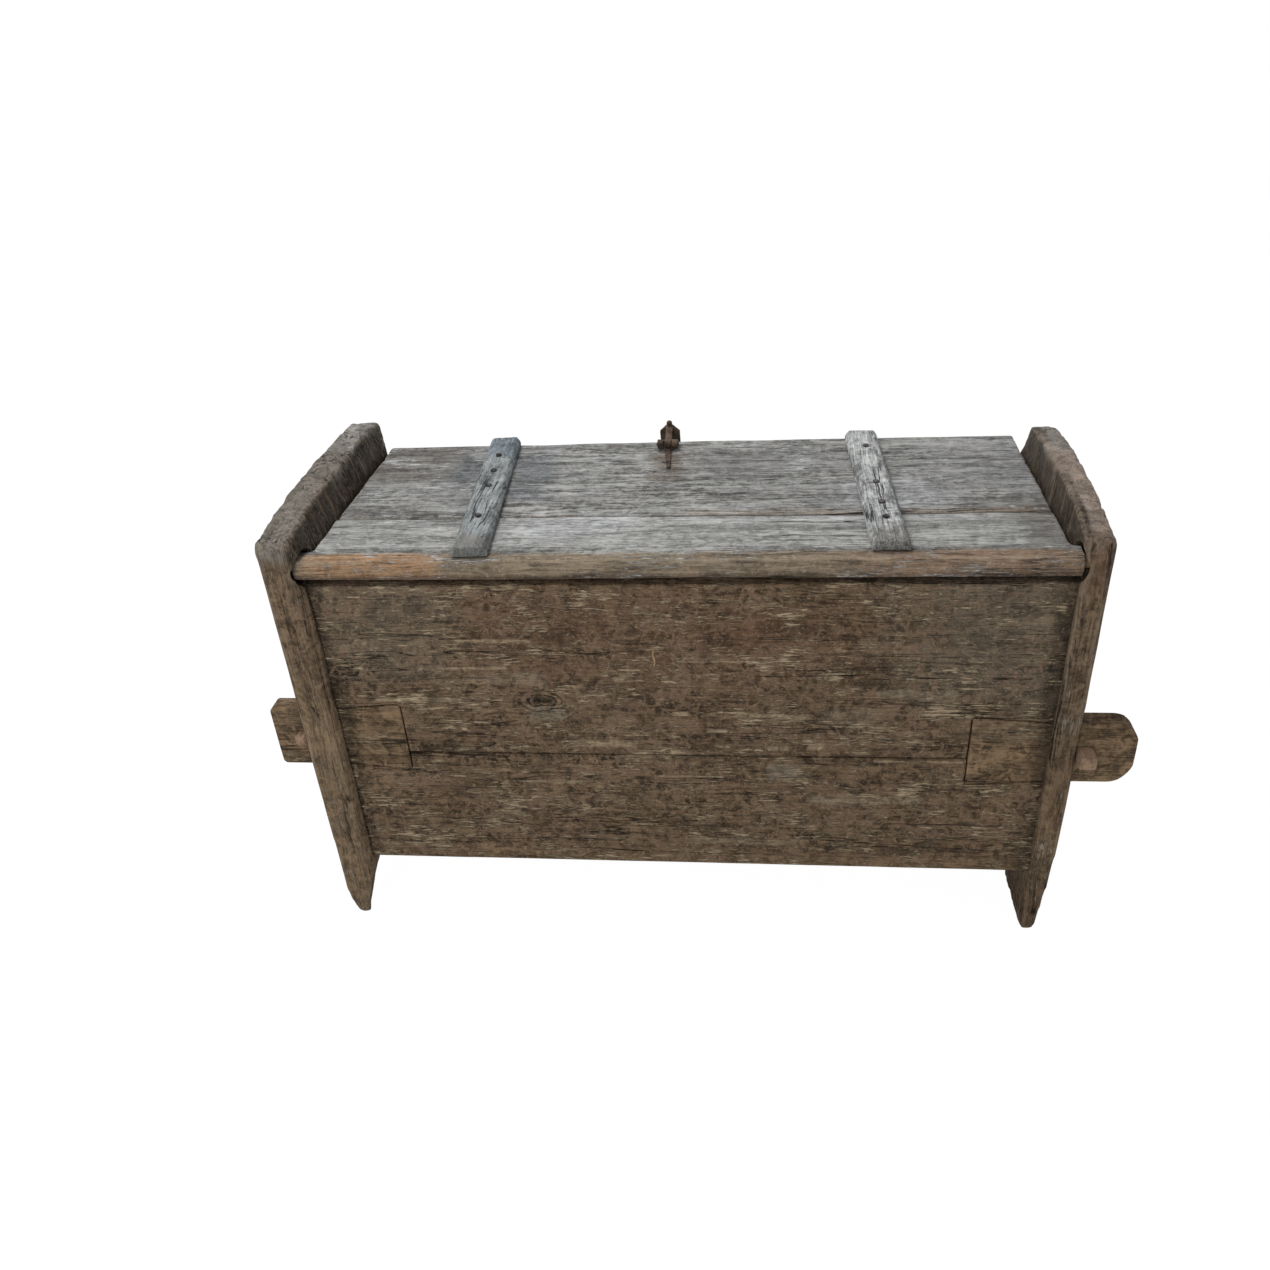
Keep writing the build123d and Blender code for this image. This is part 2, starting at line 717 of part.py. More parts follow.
# Iron strap on the lid, with the knuckle that carries the hasp
knuckle_y = lid_edge + hasp_axis_depth
knuckle_z = lid_height + hasp_axis_height
with BuildPart() as hasp_strap:
    with BuildSketch(Plane.XY.offset(lid_height)):
        tip_x = hasp_x + strap_skew
        tip_y = lid_edge + strap_start - strap_length
        with BuildLine():
            Polyline(
                (hasp_x - knuckle_width / 2, knuckle_y),
                (tip_x - strap_tip_width / 2, tip_y + strap_tip_width / 2),
                (tip_x, tip_y),
                (tip_x + strap_tip_width / 2, tip_y + strap_tip_width / 2),
                (hasp_x + knuckle_width / 2, knuckle_y),
                close=True,
            )
        make_face()
    extrude(amount=strap_thickness)
    knuckle_plane = Plane(
        origin=(hasp_x - knuckle_width / 2, knuckle_y, knuckle_z),
        x_dir=(0, 1, 0),
        z_dir=(1, 0, 0),
    )
    with BuildSketch(knuckle_plane):
        Circle(knuckle_radius)
        Rectangle(2 * knuckle_radius * 0.6, hasp_axis_height, align=(Align.CENTER, Align.MAX))
    extrude(amount=knuckle_width)
    with BuildSketch(knuckle_plane):
        Circle(hasp_pin_radius + pivot_clearance)
    extrude(amount=knuckle_width, mode=Mode.SUBTRACT)
    with BuildSketch(Plane.XY.offset(lid_height)):
        with Locations(*strap_nail_points):
            Circle(strap_nail_radius + nail_hole_clearance)
    extrude(amount=strap_thickness, mode=Mode.SUBTRACT)
save(hasp_strap.part, "hasp_strap")

strap_nail_sizes = (strap_nail_radius, strap_nail_head, strap_nail_head_height)
with BuildPart() as strap_nails:
    shank = strap_thickness + lid_thickness + 2 * strap_nail_radius
    for x, y in strap_nail_points:
        base = (x, y, lid_height + strap_thickness)
        add(nail(base, (0, 0, 1), shank, strap_nail_sizes, (0, -1, 0), strap_clench_length))
save(strap_nails.part, "strap_nails")

# Hasp: two lugs on the pin, an arm out over the lid's edge, and a slotted plate
lug_inner = knuckle_width / 2 + lug_gap
lug_outer = lug_inner + lug_width
arm_low = hasp_axis_height - knuckle_radius
arm_high = arm_low + hasp_thickness
turn = radians(hasp_raise)


def hasp_world(x, depth, height):
    """A point of the hasp, given where it is when the hasp is down."""
    turned_depth, turned_height = hasp_turned(depth, height)
    return Vector(x, lid_edge + turned_depth, lid_height + turned_height)


with BuildPart() as hasp:
    for side in (-1, 1):
        lug_start = hasp_x + side * lug_inner
        lug_plane = Plane(origin=(lug_start, knuckle_y, knuckle_z), x_dir=(0, 1, 0), z_dir=(1, 0, 0))
        with BuildSketch(lug_plane):
            Circle(knuckle_radius)
        extrude(amount=side * lug_width)
    # Yoke that joins the lugs, then the narrow arm
    yoke_start = hasp_axis_depth + knuckle_radius + 1.5
    arm_pieces = (
        (hasp_axis_depth, yoke_start + hasp_thickness, lug_inner, lug_outer),
        (yoke_start, yoke_start + hasp_thickness, 0.0, lug_outer),
        (yoke_start, hasp_plate_outer, 0.0, hasp_arm_width / 2),
    )
    arm_plane = Plane(
        origin=hasp_world(hasp_x, hasp_axis_depth, arm_low),
        x_dir=(0, cos(turn), sin(turn)),
        z_dir=(0, -sin(turn), cos(turn)),
    )
    for start, finish, inner_x, outer_x in arm_pieces:
        for side in (-1, 1):
            # The plane's X runs out along the arm and its Y towards -X of the chest
            with BuildSketch(arm_plane):
                middle = -side * (inner_x + outer_x) / 2
                with Locations(((start + finish) / 2 - hasp_axis_depth, middle)):
                    Rectangle(finish - start, outer_x - inner_x)
            extrude(amount=hasp_thickness)
    plate_plane = Plane(
        origin=hasp_world(hasp_x, hasp_plate_inner, arm_high),
        x_dir=(-1, 0, 0),
        z_dir=(0, cos(turn), sin(turn)),
    )
    plate_length = arm_high + hasp_plate_drop
    half_plate = hasp_plate_width / 2
    half_arm = hasp_arm_width / 2
    with BuildSketch(plate_plane):
        with BuildLine():
            Polyline(
                (-half_arm, 0),
                (half_arm, 0),
                (half_plate, -hasp_shoulder),
                (half_plate, -plate_length),
                (-half_plate, -plate_length),
                (-half_plate, -hasp_shoulder),
                close=True,
            )
        make_face()
        with Locations((0, -plate_length + slot_margin + slot_height / 2)):
            Rectangle(slot_width, slot_height, mode=Mode.SUBTRACT)
    extrude(amount=hasp_thickness)
    # Small ball on the bend, by which the hasp is lifted
    knob_centre = hasp_world(hasp_x, hasp_plate_inner + hasp_thickness / 2, arm_high + knob_radius * 0.7)
    with Locations(knob_centre):
        Sphere(knob_radius)
    with BuildSketch(Plane(origin=(hasp_x, knuckle_y, knuckle_z), x_dir=(0, 1, 0), z_dir=(1, 0, 0))):
        Circle(hasp_pin_radius + tight_clearance)
    extrude(amount=lug_outer + 1, both=True, mode=Mode.SUBTRACT)
save(hasp.part, "hasp")

with BuildPart() as hasp_pin:
    pin_plane = Plane(origin=(hasp_x, knuckle_y, knuckle_z), x_dir=(0, 1, 0), z_dir=(1, 0, 0))
    with BuildSketch(pin_plane):
        Circle(hasp_pin_radius)
    extrude(amount=lug_outer + 1.5, both=True)
save(hasp_pin.part, "hasp_pin")

# Staple through the latch wall, for the hasp's slot
with BuildPart() as wall_staple:
    staple_z = lid_height - hasp_plate_drop + slot_margin + slot_height / 2
    leg_offset = staple_height / 2 - staple_wire_radius
    face_y = lid_edge + latch_wall_face
    bow_y = face_y + staple_projection - staple_wire_radius - leg_offset
    tail_y = face_y - wall_thickness - staple_tail
    with BuildLine():
        Line((hasp_x, tail_y, staple_z + leg_offset), (hasp_x, bow_y, staple_z + leg_offset))
        ThreePointArc(
            (hasp_x, bow_y, staple_z + leg_offset),
            (hasp_x, bow_y + leg_offset, staple_z),
            (hasp_x, bow_y, staple_z - leg_offset),
        )
        Line((hasp_x, bow_y, staple_z - leg_offset), (hasp_x, tail_y, staple_z - leg_offset))
    wire_plane = Plane(
        origin=(hasp_x, tail_y, staple_z + leg_offset),
        x_dir=(1, 0, 0),
        z_dir=(0, 1, 0),
    )
    with BuildSketch(wire_plane):
        Circle(staple_wire_radius)
    sweep()
save(wall_staple.part, "wall_staple")
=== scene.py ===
# %% [markdown]
# # An old pegged plank chest
# A storage chest of thick hewn boards, held together by pegged tenon blocks. Its lid turns on
# wooden pins, and an iron hasp hangs on the lid's far edge. The imported model gives every size
# and place. This lesson gives each board its worn shape and its own weathered finish.
# We start by loading that model and keeping its pieces, whose boxes give the sizes.

# %% Load the chest
import json
import math
import bmesh
import bpy
import numpy as np
from mathutils import Matrix, Vector


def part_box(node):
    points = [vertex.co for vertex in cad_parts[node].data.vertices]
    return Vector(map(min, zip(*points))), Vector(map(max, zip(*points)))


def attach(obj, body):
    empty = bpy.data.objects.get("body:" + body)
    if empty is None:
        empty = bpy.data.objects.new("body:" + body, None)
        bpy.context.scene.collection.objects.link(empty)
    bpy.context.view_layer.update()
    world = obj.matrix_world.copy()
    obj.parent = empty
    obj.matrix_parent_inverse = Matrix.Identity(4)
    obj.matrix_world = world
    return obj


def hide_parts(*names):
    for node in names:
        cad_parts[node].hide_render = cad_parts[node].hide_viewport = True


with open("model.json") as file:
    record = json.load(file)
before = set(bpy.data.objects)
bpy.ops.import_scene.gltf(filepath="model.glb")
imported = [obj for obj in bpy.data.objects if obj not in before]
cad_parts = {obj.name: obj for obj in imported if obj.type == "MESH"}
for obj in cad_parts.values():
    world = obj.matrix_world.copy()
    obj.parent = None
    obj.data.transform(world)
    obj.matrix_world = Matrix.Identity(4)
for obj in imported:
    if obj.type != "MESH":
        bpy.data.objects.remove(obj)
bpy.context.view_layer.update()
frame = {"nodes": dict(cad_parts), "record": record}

nodes = frame["nodes"]
body_of = {n: body for body, names in frame["record"]["behaviour"]["bodies"].items() for n in names}

# %% [markdown]
# ## The camera
# The photograph was taken from in front of the hinge side, a little to the right and well
# above the lid, with the camera turned a few degrees. Its place is given from the middle of the
# lid's hinge edge, because that edge is the easiest line to see in the picture.

# %% Set up the camera
lid_low, lid_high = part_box("lid_hinge_board")
edge_y = lid_low.y
lid_top_z = lid_high.z
middle_line_x = -0.012
to_the_right, in_front, above_lid = 0.1095, 1.208, 0.631
lens_mm = 30.59

yaw, pitch, roll = (math.radians(a) for a in (-7.6, 31.38, -3.95))
eye = Vector((middle_line_x + to_the_right, edge_y - in_front, lid_top_z + above_lid))
look = Vector((math.sin(yaw) * math.cos(pitch), math.cos(yaw) * math.cos(pitch), -math.sin(pitch)))
level = Vector((math.cos(yaw), -math.sin(yaw), 0.0))
up = level.cross(look)
camera_x = math.cos(roll) * level + math.sin(roll) * up
camera_y = math.cos(roll) * up - math.sin(roll) * level
camera_data = bpy.data.cameras.new("chest_camera")
camera_data.lens = lens_mm
camera = bpy.data.objects.new("chest_camera", camera_data)
camera.matrix_world = Matrix((camera_x, camera_y, -look)).transposed().to_4x4()
camera.matrix_world.translation = eye
bpy.context.scene.collection.objects.link(camera)
bpy.context.scene.camera = camera
print("camera", round((eye - Vector((middle_line_x, 0, lid_top_z))).length, 3), "m from the lid")

# %% [markdown]
# ## Lamps
# Two wide area lamps give gentle shadows. A small lamp would draw hard edges that the photograph
# doesn't have. One hangs high behind the chest and one stands in front, to the left.

# %% Hang the lamps
studio = bpy.context.scene.collection


def area_lamp(name, place, target, size, power):
    """A square soft lamp that points from its place at a target."""
    data = bpy.data.lights.new(name, "AREA")
    data.size = size
    data.energy = power
    lamp = bpy.data.objects.new(name, data)
    lamp.location = place
    lamp.rotation_euler = (Vector(target) - Vector(place)).to_track_quat("-Z", "Y").to_euler()
    studio.objects.link(lamp)


area_lamp("high_lamp", (-0.7, 0.6, 2.7), (0.0, 0.0, 0.5), 1.3, 42)
area_lamp("front_lamp", (-0.9, -2.6, 1.9), (0.0, 0.0, 0.4), 1.2, 34)
bpy.context.scene.view_settings.view_transform = "Standard"

# %% [markdown]
# ## The white room
# The world fills the shadows in at half strength. To the camera it shows plain white, through
# the Light Path node, so a white background costs the chest no extra light.

# %% A world that looks white
world = bpy.data.worlds.new("pale_room")
bpy.context.scene.world = world
world.use_nodes = True
sky = world.node_tree
fill = sky.nodes["Background"]
fill.inputs["Color"].default_value = (1.0, 1.0, 1.0, 1.0)
fill.inputs["Strength"].default_value = 0.5
backdrop = sky.nodes.new("ShaderNodeBackground")
backdrop.inputs["Color"].default_value = (1.0, 1.0, 1.0, 1.0)
rays = sky.nodes.new("ShaderNodeLightPath")
choose = sky.nodes.new("ShaderNodeMixShader")
sky.links.new(rays.outputs["Is Camera Ray"], choose.inputs["Fac"])
sky.links.new(fill.outputs["Background"], choose.inputs[1])
sky.links.new(backdrop.outputs["Background"], choose.inputs[2])
sky.links.new(choose.outputs["Shader"], sky.nodes["World Output"].inputs["Surface"])
print("fill strength", fill.inputs["Strength"].default_value)

# %% [markdown]
# ## The floor
# A plain wide grid. Its paint is mostly a white glow to the camera and a small share of matt
# white, and that share keeps a faint shadow of the chest.

# %% Lay the floor
floor_reach = 9.0
glow_share = 0.93
floor_mesh = bpy.data.meshes.new("studio_floor")
bm = bmesh.new()
bmesh.ops.create_grid(bm, x_segments=24, y_segments=24, size=floor_reach)
bm.to_mesh(floor_mesh)
bm.free()
studio_floor = bpy.data.objects.new("studio_floor", floor_mesh)
studio.objects.link(studio_floor)
floor_paint = bpy.data.materials.new("white_floor")
floor_paint.use_nodes = True
tree = floor_paint.node_tree
matt = tree.nodes["Principled BSDF"]
matt.inputs["Base Color"].default_value = (0.8, 0.8, 0.79, 1.0)
matt.inputs["Roughness"].default_value = 0.9
glow = tree.nodes.new("ShaderNodeEmission")
glow.inputs["Strength"].default_value = 1.05
rays = tree.nodes.new("ShaderNodeLightPath")
share = tree.nodes.new("ShaderNodeMath")
share.operation = "MULTIPLY"
share.inputs[1].default_value = glow_share
blend = tree.nodes.new("ShaderNodeMixShader")
tree.links.new(rays.outputs["Is Camera Ray"], share.inputs[0])
tree.links.new(share.outputs["Value"], blend.inputs["Fac"])
tree.links.new(matt.outputs["BSDF"], blend.inputs[1])
tree.links.new(glow.outputs["Emission"], blend.inputs[2])
tree.links.new(blend.outputs["Shader"], tree.nodes["Material Output"].inputs["Surface"])
floor_mesh.materials.append(floor_paint)
print("floor", 2 * floor_reach, "m wide")

# %% [markdown]
# ## Wear for the boards
# Hewn and weathered wood has no straight arris left. Each board is copied, cut into small
# even squares by a voxel remesh, and then worn down: corners are rounded unevenly by smoothing
# that follows a random field, and the faces get shallow hollows along the grain. The random
# field is made of seeded numbers, so the same chest comes out every time.

# %% Smooth random field
SEED_STEP = np.array([73856093, 19349663, 83492791])


def uneven(points, seed):
    """Smooth random values from -1 to 1 at points that are read as one unit per cell."""
    cells = np.floor(points).astype(np.int64)
    inside = points - cells
    inside = inside * inside * (3.0 - 2.0 * inside)
    total = np.zeros(len(points))
    for corner in np.ndindex(2, 2, 2):
        key = ((cells + corner) * SEED_STEP).sum(axis=1) + seed * 912871
        key = (key ^ (key >> 13)) * 1274126177 % 4294967296
        value = ((key ^ (key >> 16)) % 65536) / 32767.5 - 1.0
        total += value * np.where(corner, inside, 1.0 - inside).prod(axis=1)
    return total


def layered(points, seed):
    """Three sizes of the random field on top of each other."""
    total = np.zeros(len(points))
    for k in range(3):
        total += uneven(points * 2**k, seed + 31 * k) / 2**k
    return total


probe = layered(np.random.default_rng(1).random((2000, 3)) * 9, 5)
print("random field from", round(probe.min(), 2), "to", round(probe.max(), 2))

# %% [markdown]
# ### A fine copy of a board
# A CAD board has a few large faces, and wear needs thousands of small ones. The remesh modifier
# builds them from little cubes, called voxels, which also closes every corner neatly. The packed
# board itself is never changed, only its copy.

# %% Copy and remesh a board
def remeshed_copy(node, name, voxel):
    """A new object with the CAD node's shape, in even squares of the given size."""
    board = bpy.data.objects.new(name, nodes[node].data.copy())
    studio.objects.link(board)
    grid = board.modifiers.new("even_squares", "REMESH")
    grid.mode = "VOXEL"
    grid.voxel_size = voxel
    grid.use_smooth_shade = True
    fine = bpy.data.meshes.new_from_object(board.evaluated_get(bpy.context.evaluated_depsgraph_get()))
    board.modifiers.clear()
    board.data = fine
    fine.name = name
    fine.materials.clear()
    return board


print("the packed pieces have", sum(len(n.data.polygons) for n in nodes.values()), "faces in all")

# %% [markdown]
# ### Reading and writing points
# Blender hands a mesh's points over as one long row of numbers. NumPy folds that row into a table
# with one point per line, and works on all of them at once, which is far quicker than a loop.

# %% Points in and out
def read_vectors(board, label):
    """The points ("co") or the normals ("normal") of a board, one per line."""
    row = np.zeros(len(board.data.vertices) * 3)
    board.data.vertices.foreach_get(label, row)
    return row.reshape(-1, 3)


def write_points(board, points):
    board.data.vertices.foreach_set("co", points.ravel())
    board.data.update()


def neighbour_mean(board):
    """A function that gives the mean of each vertex's neighbours."""
    ends = np.zeros(len(board.data.edges) * 2, np.int64)
    board.data.edges.foreach_get("vertices", ends)
    a, b = ends.reshape(-1, 2).T
    count = np.bincount(ends, minlength=len(board.data.vertices)).astype(float)

    def mean(values):
        columns = []
        for column in values.T:
            total = np.bincount(a, column[b], len(count)) + np.bincount(b, column[a], len(count))
            columns.append(total / count)
        return np.array(columns).T

    return mean


print("the packed lid board has", len(read_vectors(nodes["lid_hinge_board"], "co")), "points")

# %% [markdown]
# ### One board's wear
# Two things happen to every board. Its arrises are smoothed away by different amounts along
# their length, with small nicks. Its faces sink by a millimetre or so in long hollows, which only
# ever go inwards, so a worn board never grows past its sound size. How far each point lost its
# corner is stored on the mesh as "arris", and the finishes rub the wood lighter there.

# %% Wear a board
GRAIN_STRETCH = {"x": (0.12, 1.0, 1.0), "y": (1.0, 0.12, 1.0), "z": (1.0, 1.0, 0.12)}
LOOSE_CELLS, NICK_CELLS, HOLLOW_CELLS, FIBRE_CELLS = 45, 70, 16, 160  # in a metre
SMOOTHING = 0.62
EVEN_PASSES = 2
NICKED_FROM = 0.0008
FULL_ARRIS = 0.0012


def wear(board, grain, seed, rounding, chips, sink, reshape):
    """Rounds, chips and hollows a board whose grain runs along the given axis."""
    mean = neighbour_mean(board)
    sound = read_vectors(board, "co")
    if reshape:
        sound = reshape(sound)
    along = sound * GRAIN_STRETCH[grain]
    loose = np.clip(0.5 + 0.9 * layered(along * LOOSE_CELLS, seed), 0.0, 1.0)[:, None]
    worn = sound.copy()
    for step in range(rounding):
        keep = loose if step >= EVEN_PASSES else 1.0
        worn = worn + (mean(worn) - worn) * SMOOTHING * keep
    write_points(board, worn)
    normal = read_vectors(board, "normal")
    lost = ((sound - worn) * normal).sum(axis=1)
    lost = mean(lost[:, None])[:, 0]
    nicks = np.clip(layered(along * NICK_CELLS, seed + 7) - 0.25, 0.0, 1.0)
    hollows = 0.5 + 0.5 * layered(along * HOLLOW_CELLS, seed + 3)
    fibres = 0.5 + 0.5 * uneven(along * FIBRE_CELLS, seed + 5)
    edge = np.clip(lost / NICKED_FROM, 0.0, 1.0)
    depth = sink * (0.75 * hollows + 0.35 * fibres) + chips * nicks * edge
    write_points(board, worn - normal * np.clip(depth, 0.0, None)[:, None])
    arris = board.data.attributes.new("arris", "FLOAT", "POINT")
    arris.data.foreach_set("value", np.clip(lost / FULL_ARRIS, -1.0, 1.0).astype(np.float32))


print("an arris counts as lost at", 1000 * FULL_ARRIS, "mm")

# %% [markdown]
# ### Put a worn board in its place
# The copy stands for the imported board: it moves with the same body, and its finish is given
# later. Its name is the board's own, with "worn" before it.

# %% Replace a board
def worn_board(node, grain, seed, voxel, rounding, chips, sink, reshape=None):
    """Replaces a CAD board by its worn copy, which rides with the board's body."""
    board = remeshed_copy(node, "worn_" + node, voxel)
    wear(board, grain, seed, rounding, chips, sink, reshape)
    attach(board, body_of[node])
    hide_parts(node)
    return board


# %% [markdown]
# ## Effects that the finishes share
# Old wood shows the same few things everywhere, in different colours and strengths: long fibres,
# broad bands of tone, thin dark cracks, pale scratches and blotches. Each is a node group with
# its own sockets, so that a finish is put together from them like paint from pots. First come
# short helpers for the nodes that every group uses.

# %% Node helpers
def link(source, target):
    """A number or a colour is set on a socket, and an output is linked to it."""
    if isinstance(source, (int, float, tuple)):
        target.default_value = source
    else:
        target.id_data.links.new(source, target)


def math_node(tree, operation, first, second=0.5, clamp=False):
    node = tree.nodes.new("ShaderNodeMath")
    node.operation = operation
    node.use_clamp = clamp
    link(first, node.inputs[0])
    link(second, node.inputs[1])
    return node.outputs["Value"]


def times(tree, first, second):
    return math_node(tree, "MULTIPLY", first, second)


def vector_node(tree, operation, first, second):
    node = tree.nodes.new("ShaderNodeVectorMath")
    node.operation = operation
    link(first, node.inputs[0])
    link(second, node.inputs[1])
    return node.outputs["Vector"]


def noise(tree, place, scale, detail=4.0, rough=0.55, twist=0.0, output="Fac"):
    node = tree.nodes.new("ShaderNodeTexNoise")
    for label, value in zip(("Scale", "Detail", "Roughness", "Distortion"), (scale, detail, rough, twist)):
        node.inputs[label].default_value = value
    link(place, node.inputs["Vector"])
    return node.outputs[output]


def between(tree, value, low, high, out_low=0.0, out_high=1.0):
    """Spreads the part of a value from low to high over a new range, and clamps it there."""
    node = tree.nodes.new("ShaderNodeMapRange")
    node.interpolation_type = "SMOOTHSTEP"
    link(value, node.inputs["Value"])
    for label, number in zip(("From Min", "From Max", "To Min", "To Max"), (low, high, out_low, out_high)):
        link(number, node.inputs[label])
    return node.outputs["Result"]


print("node helpers:", [f.__name__ for f in (link, math_node, times, vector_node, noise, between)])

# %% [markdown]
# ### Making and using a group
# A group has an input node and an output node inside, and its sockets belong to its interface.
# One helper makes the empty group and another places it in a material with its values.

# %% Group helpers
ORIGIN = (0.0, 0.0, 0.0)


def new_group(name, inputs, outputs):
    """An empty group, with the sockets of its input node and its output node."""
    group = bpy.data.node_groups.new(name, "ShaderNodeTree")
    for label, value in inputs.items():
        kind = "NodeSocketFloat" if isinstance(value, float) else "NodeSocketVector"
        group.interface.new_socket(label, in_out="INPUT", socket_type=kind).default_value = value
    for label in outputs:
        group.interface.new_socket(label, in_out="OUTPUT", socket_type="NodeSocketFloat")
    return group, group.nodes.new("NodeGroupInput").outputs, group.nodes.new("NodeGroupOutput").inputs


def use_group(tree, group, values):
    """Places a group in a material, sets or links its inputs, and gives its outputs."""
    node = tree.nodes.new("ShaderNodeGroup")
    node.node_tree = group
    for label, value in values.items():
        link(value, node.inputs[label])
    return node.outputs


print("groups so far:", len(bpy.data.node_groups))

# %% [markdown]
# ### Long grain
# The grain is read along X here, and a finish turns its coordinates so that X follows the board.
# Fibres are a noise that is drawn out twenty-five times along the grain. Cracks are the places
# where a broader drawn-out noise crosses its own middle, which gives thin wandering lines.

# %% Long grain group
grain_group, given, result = new_group(
    "long_grain",
    {"Place": ORIGIN, "Crack Width": 0.008},
    ("Fibres", "Bands", "Cracks", "Streaks", "Mottle"),
)
tree = grain_group
place = given["Place"]
wander = times(tree, noise(tree, place, 6.0, 2.0), 0.016)
lift = tree.nodes.new("ShaderNodeCombineXYZ")
link(wander, lift.inputs["Y"])
link(wander, lift.inputs["Z"])
bent = vector_node(tree, "ADD", place, lift.outputs["Vector"])


def drawn_out(along, scale, detail, rough):
    """Noise on the bent grain, squeezed along X so that it shows as long streaks."""
    return noise(tree, vector_node(tree, "MULTIPLY", bent, (along, 1.0, 1.0)), scale, detail, rough)


link(drawn_out(0.04, 460.0, 6.0, 0.7), result["Fibres"])
link(drawn_out(0.09, 46.0, 7.0, 0.68), result["Bands"])
link(drawn_out(0.07, 230.0, 6.0, 0.75), result["Streaks"])
off_middle = math_node(tree, "SUBTRACT", drawn_out(0.035, 34.0, 4.0, 0.55), 0.5)
off_middle = math_node(tree, "ABSOLUTE", off_middle)
near_line = math_node(tree, "DIVIDE", off_middle, given["Crack Width"])
line = between(tree, near_line, 0.2, 1.0, 1.0, 0.0)
open_here = noise(tree, vector_node(tree, "MULTIPLY", place, (0.3, 1.0, 1.0)), 14.0, 3.0)
link(times(tree, line, between(tree, open_here, 0.48, 0.6)), result["Cracks"])
link(noise(tree, place, 62.0, 8.0, 0.74, 0.9), result["Mottle"])
print("long grain has", len(tree.nodes), "nodes")

# %% [markdown]
# ### Scuffs and blotches
# Handling leaves pale scratches that are short, thin and mostly along the grain. They are the
# highest peaks of a fine noise and a broad one added together, so they come in clusters. Damp
# leaves soft blotches, and dirt that flaked off leaves pale curls and specks.

# %% Scuffs and blotches group
scuff_group, given, result = new_group(
    "scuffs",
    {"Place": ORIGIN, "Amount": 0.5},
    ("Scratches", "Blotches", "Crinkles", "Curls", "Specks"),
)
tree = scuff_group
place = given["Place"]
limit = between(tree, given["Amount"], 0.0, 1.0, 0.72, 0.5)
thin = noise(tree, vector_node(tree, "MULTIPLY", place, (0.08, 1.0, 1.0)), 400.0, 5.0, 0.7, 1.4)
where = noise(tree, vector_node(tree, "MULTIPLY", place, (0.5, 1.0, 1.0)), 24.0, 8.0, 0.76)
peaks = math_node(tree, "ADD", times(tree, thin, 0.53), times(tree, where, 0.47))
over = math_node(tree, "SUBTRACT", peaks, limit)
link(math_node(tree, "MULTIPLY", over, 34.0, True), result["Scratches"])
link(between(tree, noise(tree, place, 11.0, 5.0, 0.62), 0.42, 0.66), result["Blotches"])
curl = noise(tree, vector_node(tree, "MULTIPLY", place, (0.7, 1.0, 1.0)), 80.0, 7.0, 0.72, 2.2)
curl_here = between(tree, noise(tree, place, 16.0, 5.0, 0.6), 0.42, 0.6)
link(times(tree, between(tree, curl, 0.54, 0.64), curl_here), result["Curls"])
link(between(tree, noise(tree, place, 260.0, 5.0, 0.78), 0.56, 0.66), result["Specks"])
print("pale marks made")

# %% [markdown]
# ### Crinkles
# The wall's old coating has dried into a net of fine rims. They come from the distance to the
# edges of Voronoi cells, whose places are bent by noise so that no straight line is left.

# %% Crinkles in the scuffs group
cells = tree.nodes.new("ShaderNodeTexVoronoi")
cells.feature = "DISTANCE_TO_EDGE"
cells.inputs["Scale"].default_value = 46.0
wobble = vector_node(tree, "MULTIPLY", noise(tree, place, 28.0, 3.0, 0.5, 0.0, "Color"), (0.05, 0.05, 0.05))
link(vector_node(tree, "ADD", wobble, place), cells.inputs["Vector"])
rim = between(tree, cells.outputs["Distance"], 0.0, 0.16, 1.0, 0.0)
rim_here = between(tree, noise(tree, place, 12.0, 4.0), 0.42, 0.6)
link(times(tree, rim, rim_here), result["Crinkles"])
print("scuffs has", len(tree.nodes), "nodes")

# %% [markdown]
# ### Knots
# A knot is where a branch grew through the plank. It shows as squeezed rings round a dark heart,
# so the distance from its centre is measured, shortened along the grain and bent by noise.

# %% Knot group
knot_group, given, result = new_group(
    "knot", {"Place": ORIGIN, "Centre": ORIGIN, "Reach": 0.03}, ("Rings", "Heart")
)
tree = knot_group
off_centre = vector_node(tree, "SUBTRACT", given["Place"], given["Centre"])
how_far = tree.nodes.new("ShaderNodeVectorMath")
how_far.operation = "LENGTH"
link(vector_node(tree, "MULTIPLY", off_centre, (0.5, 0.0, 1.0)), how_far.inputs[0])
bend = noise(tree, given["Place"], 55.0, 3.0)
rings = math_node(tree, "DIVIDE", how_far.outputs["Value"], given["Reach"])
rings = math_node(tree, "ADD", rings, times(tree, bend, 0.5))
wave = math_node(tree, "SINE", times(tree, rings, 26.0))
fade = between(tree, rings, 0.55, 1.25, 1.0, 0.0)
link(times(tree, between(tree, wave, -0.2, 0.9), fade), result["Rings"])
link(between(tree, rings, 0.38, 0.5, 1.0, 0.0), result["Heart"])
print("knot has", len(tree.nodes), "nodes")

# %% [markdown]
# ### Stains
# A stain is a soft box round a centre: full inside its half size and fading over a soft margin.
# Ragged noise moves the margin in and out, so that no box can be seen. An axis where a stain
# has no end gets a half size larger than the chest.

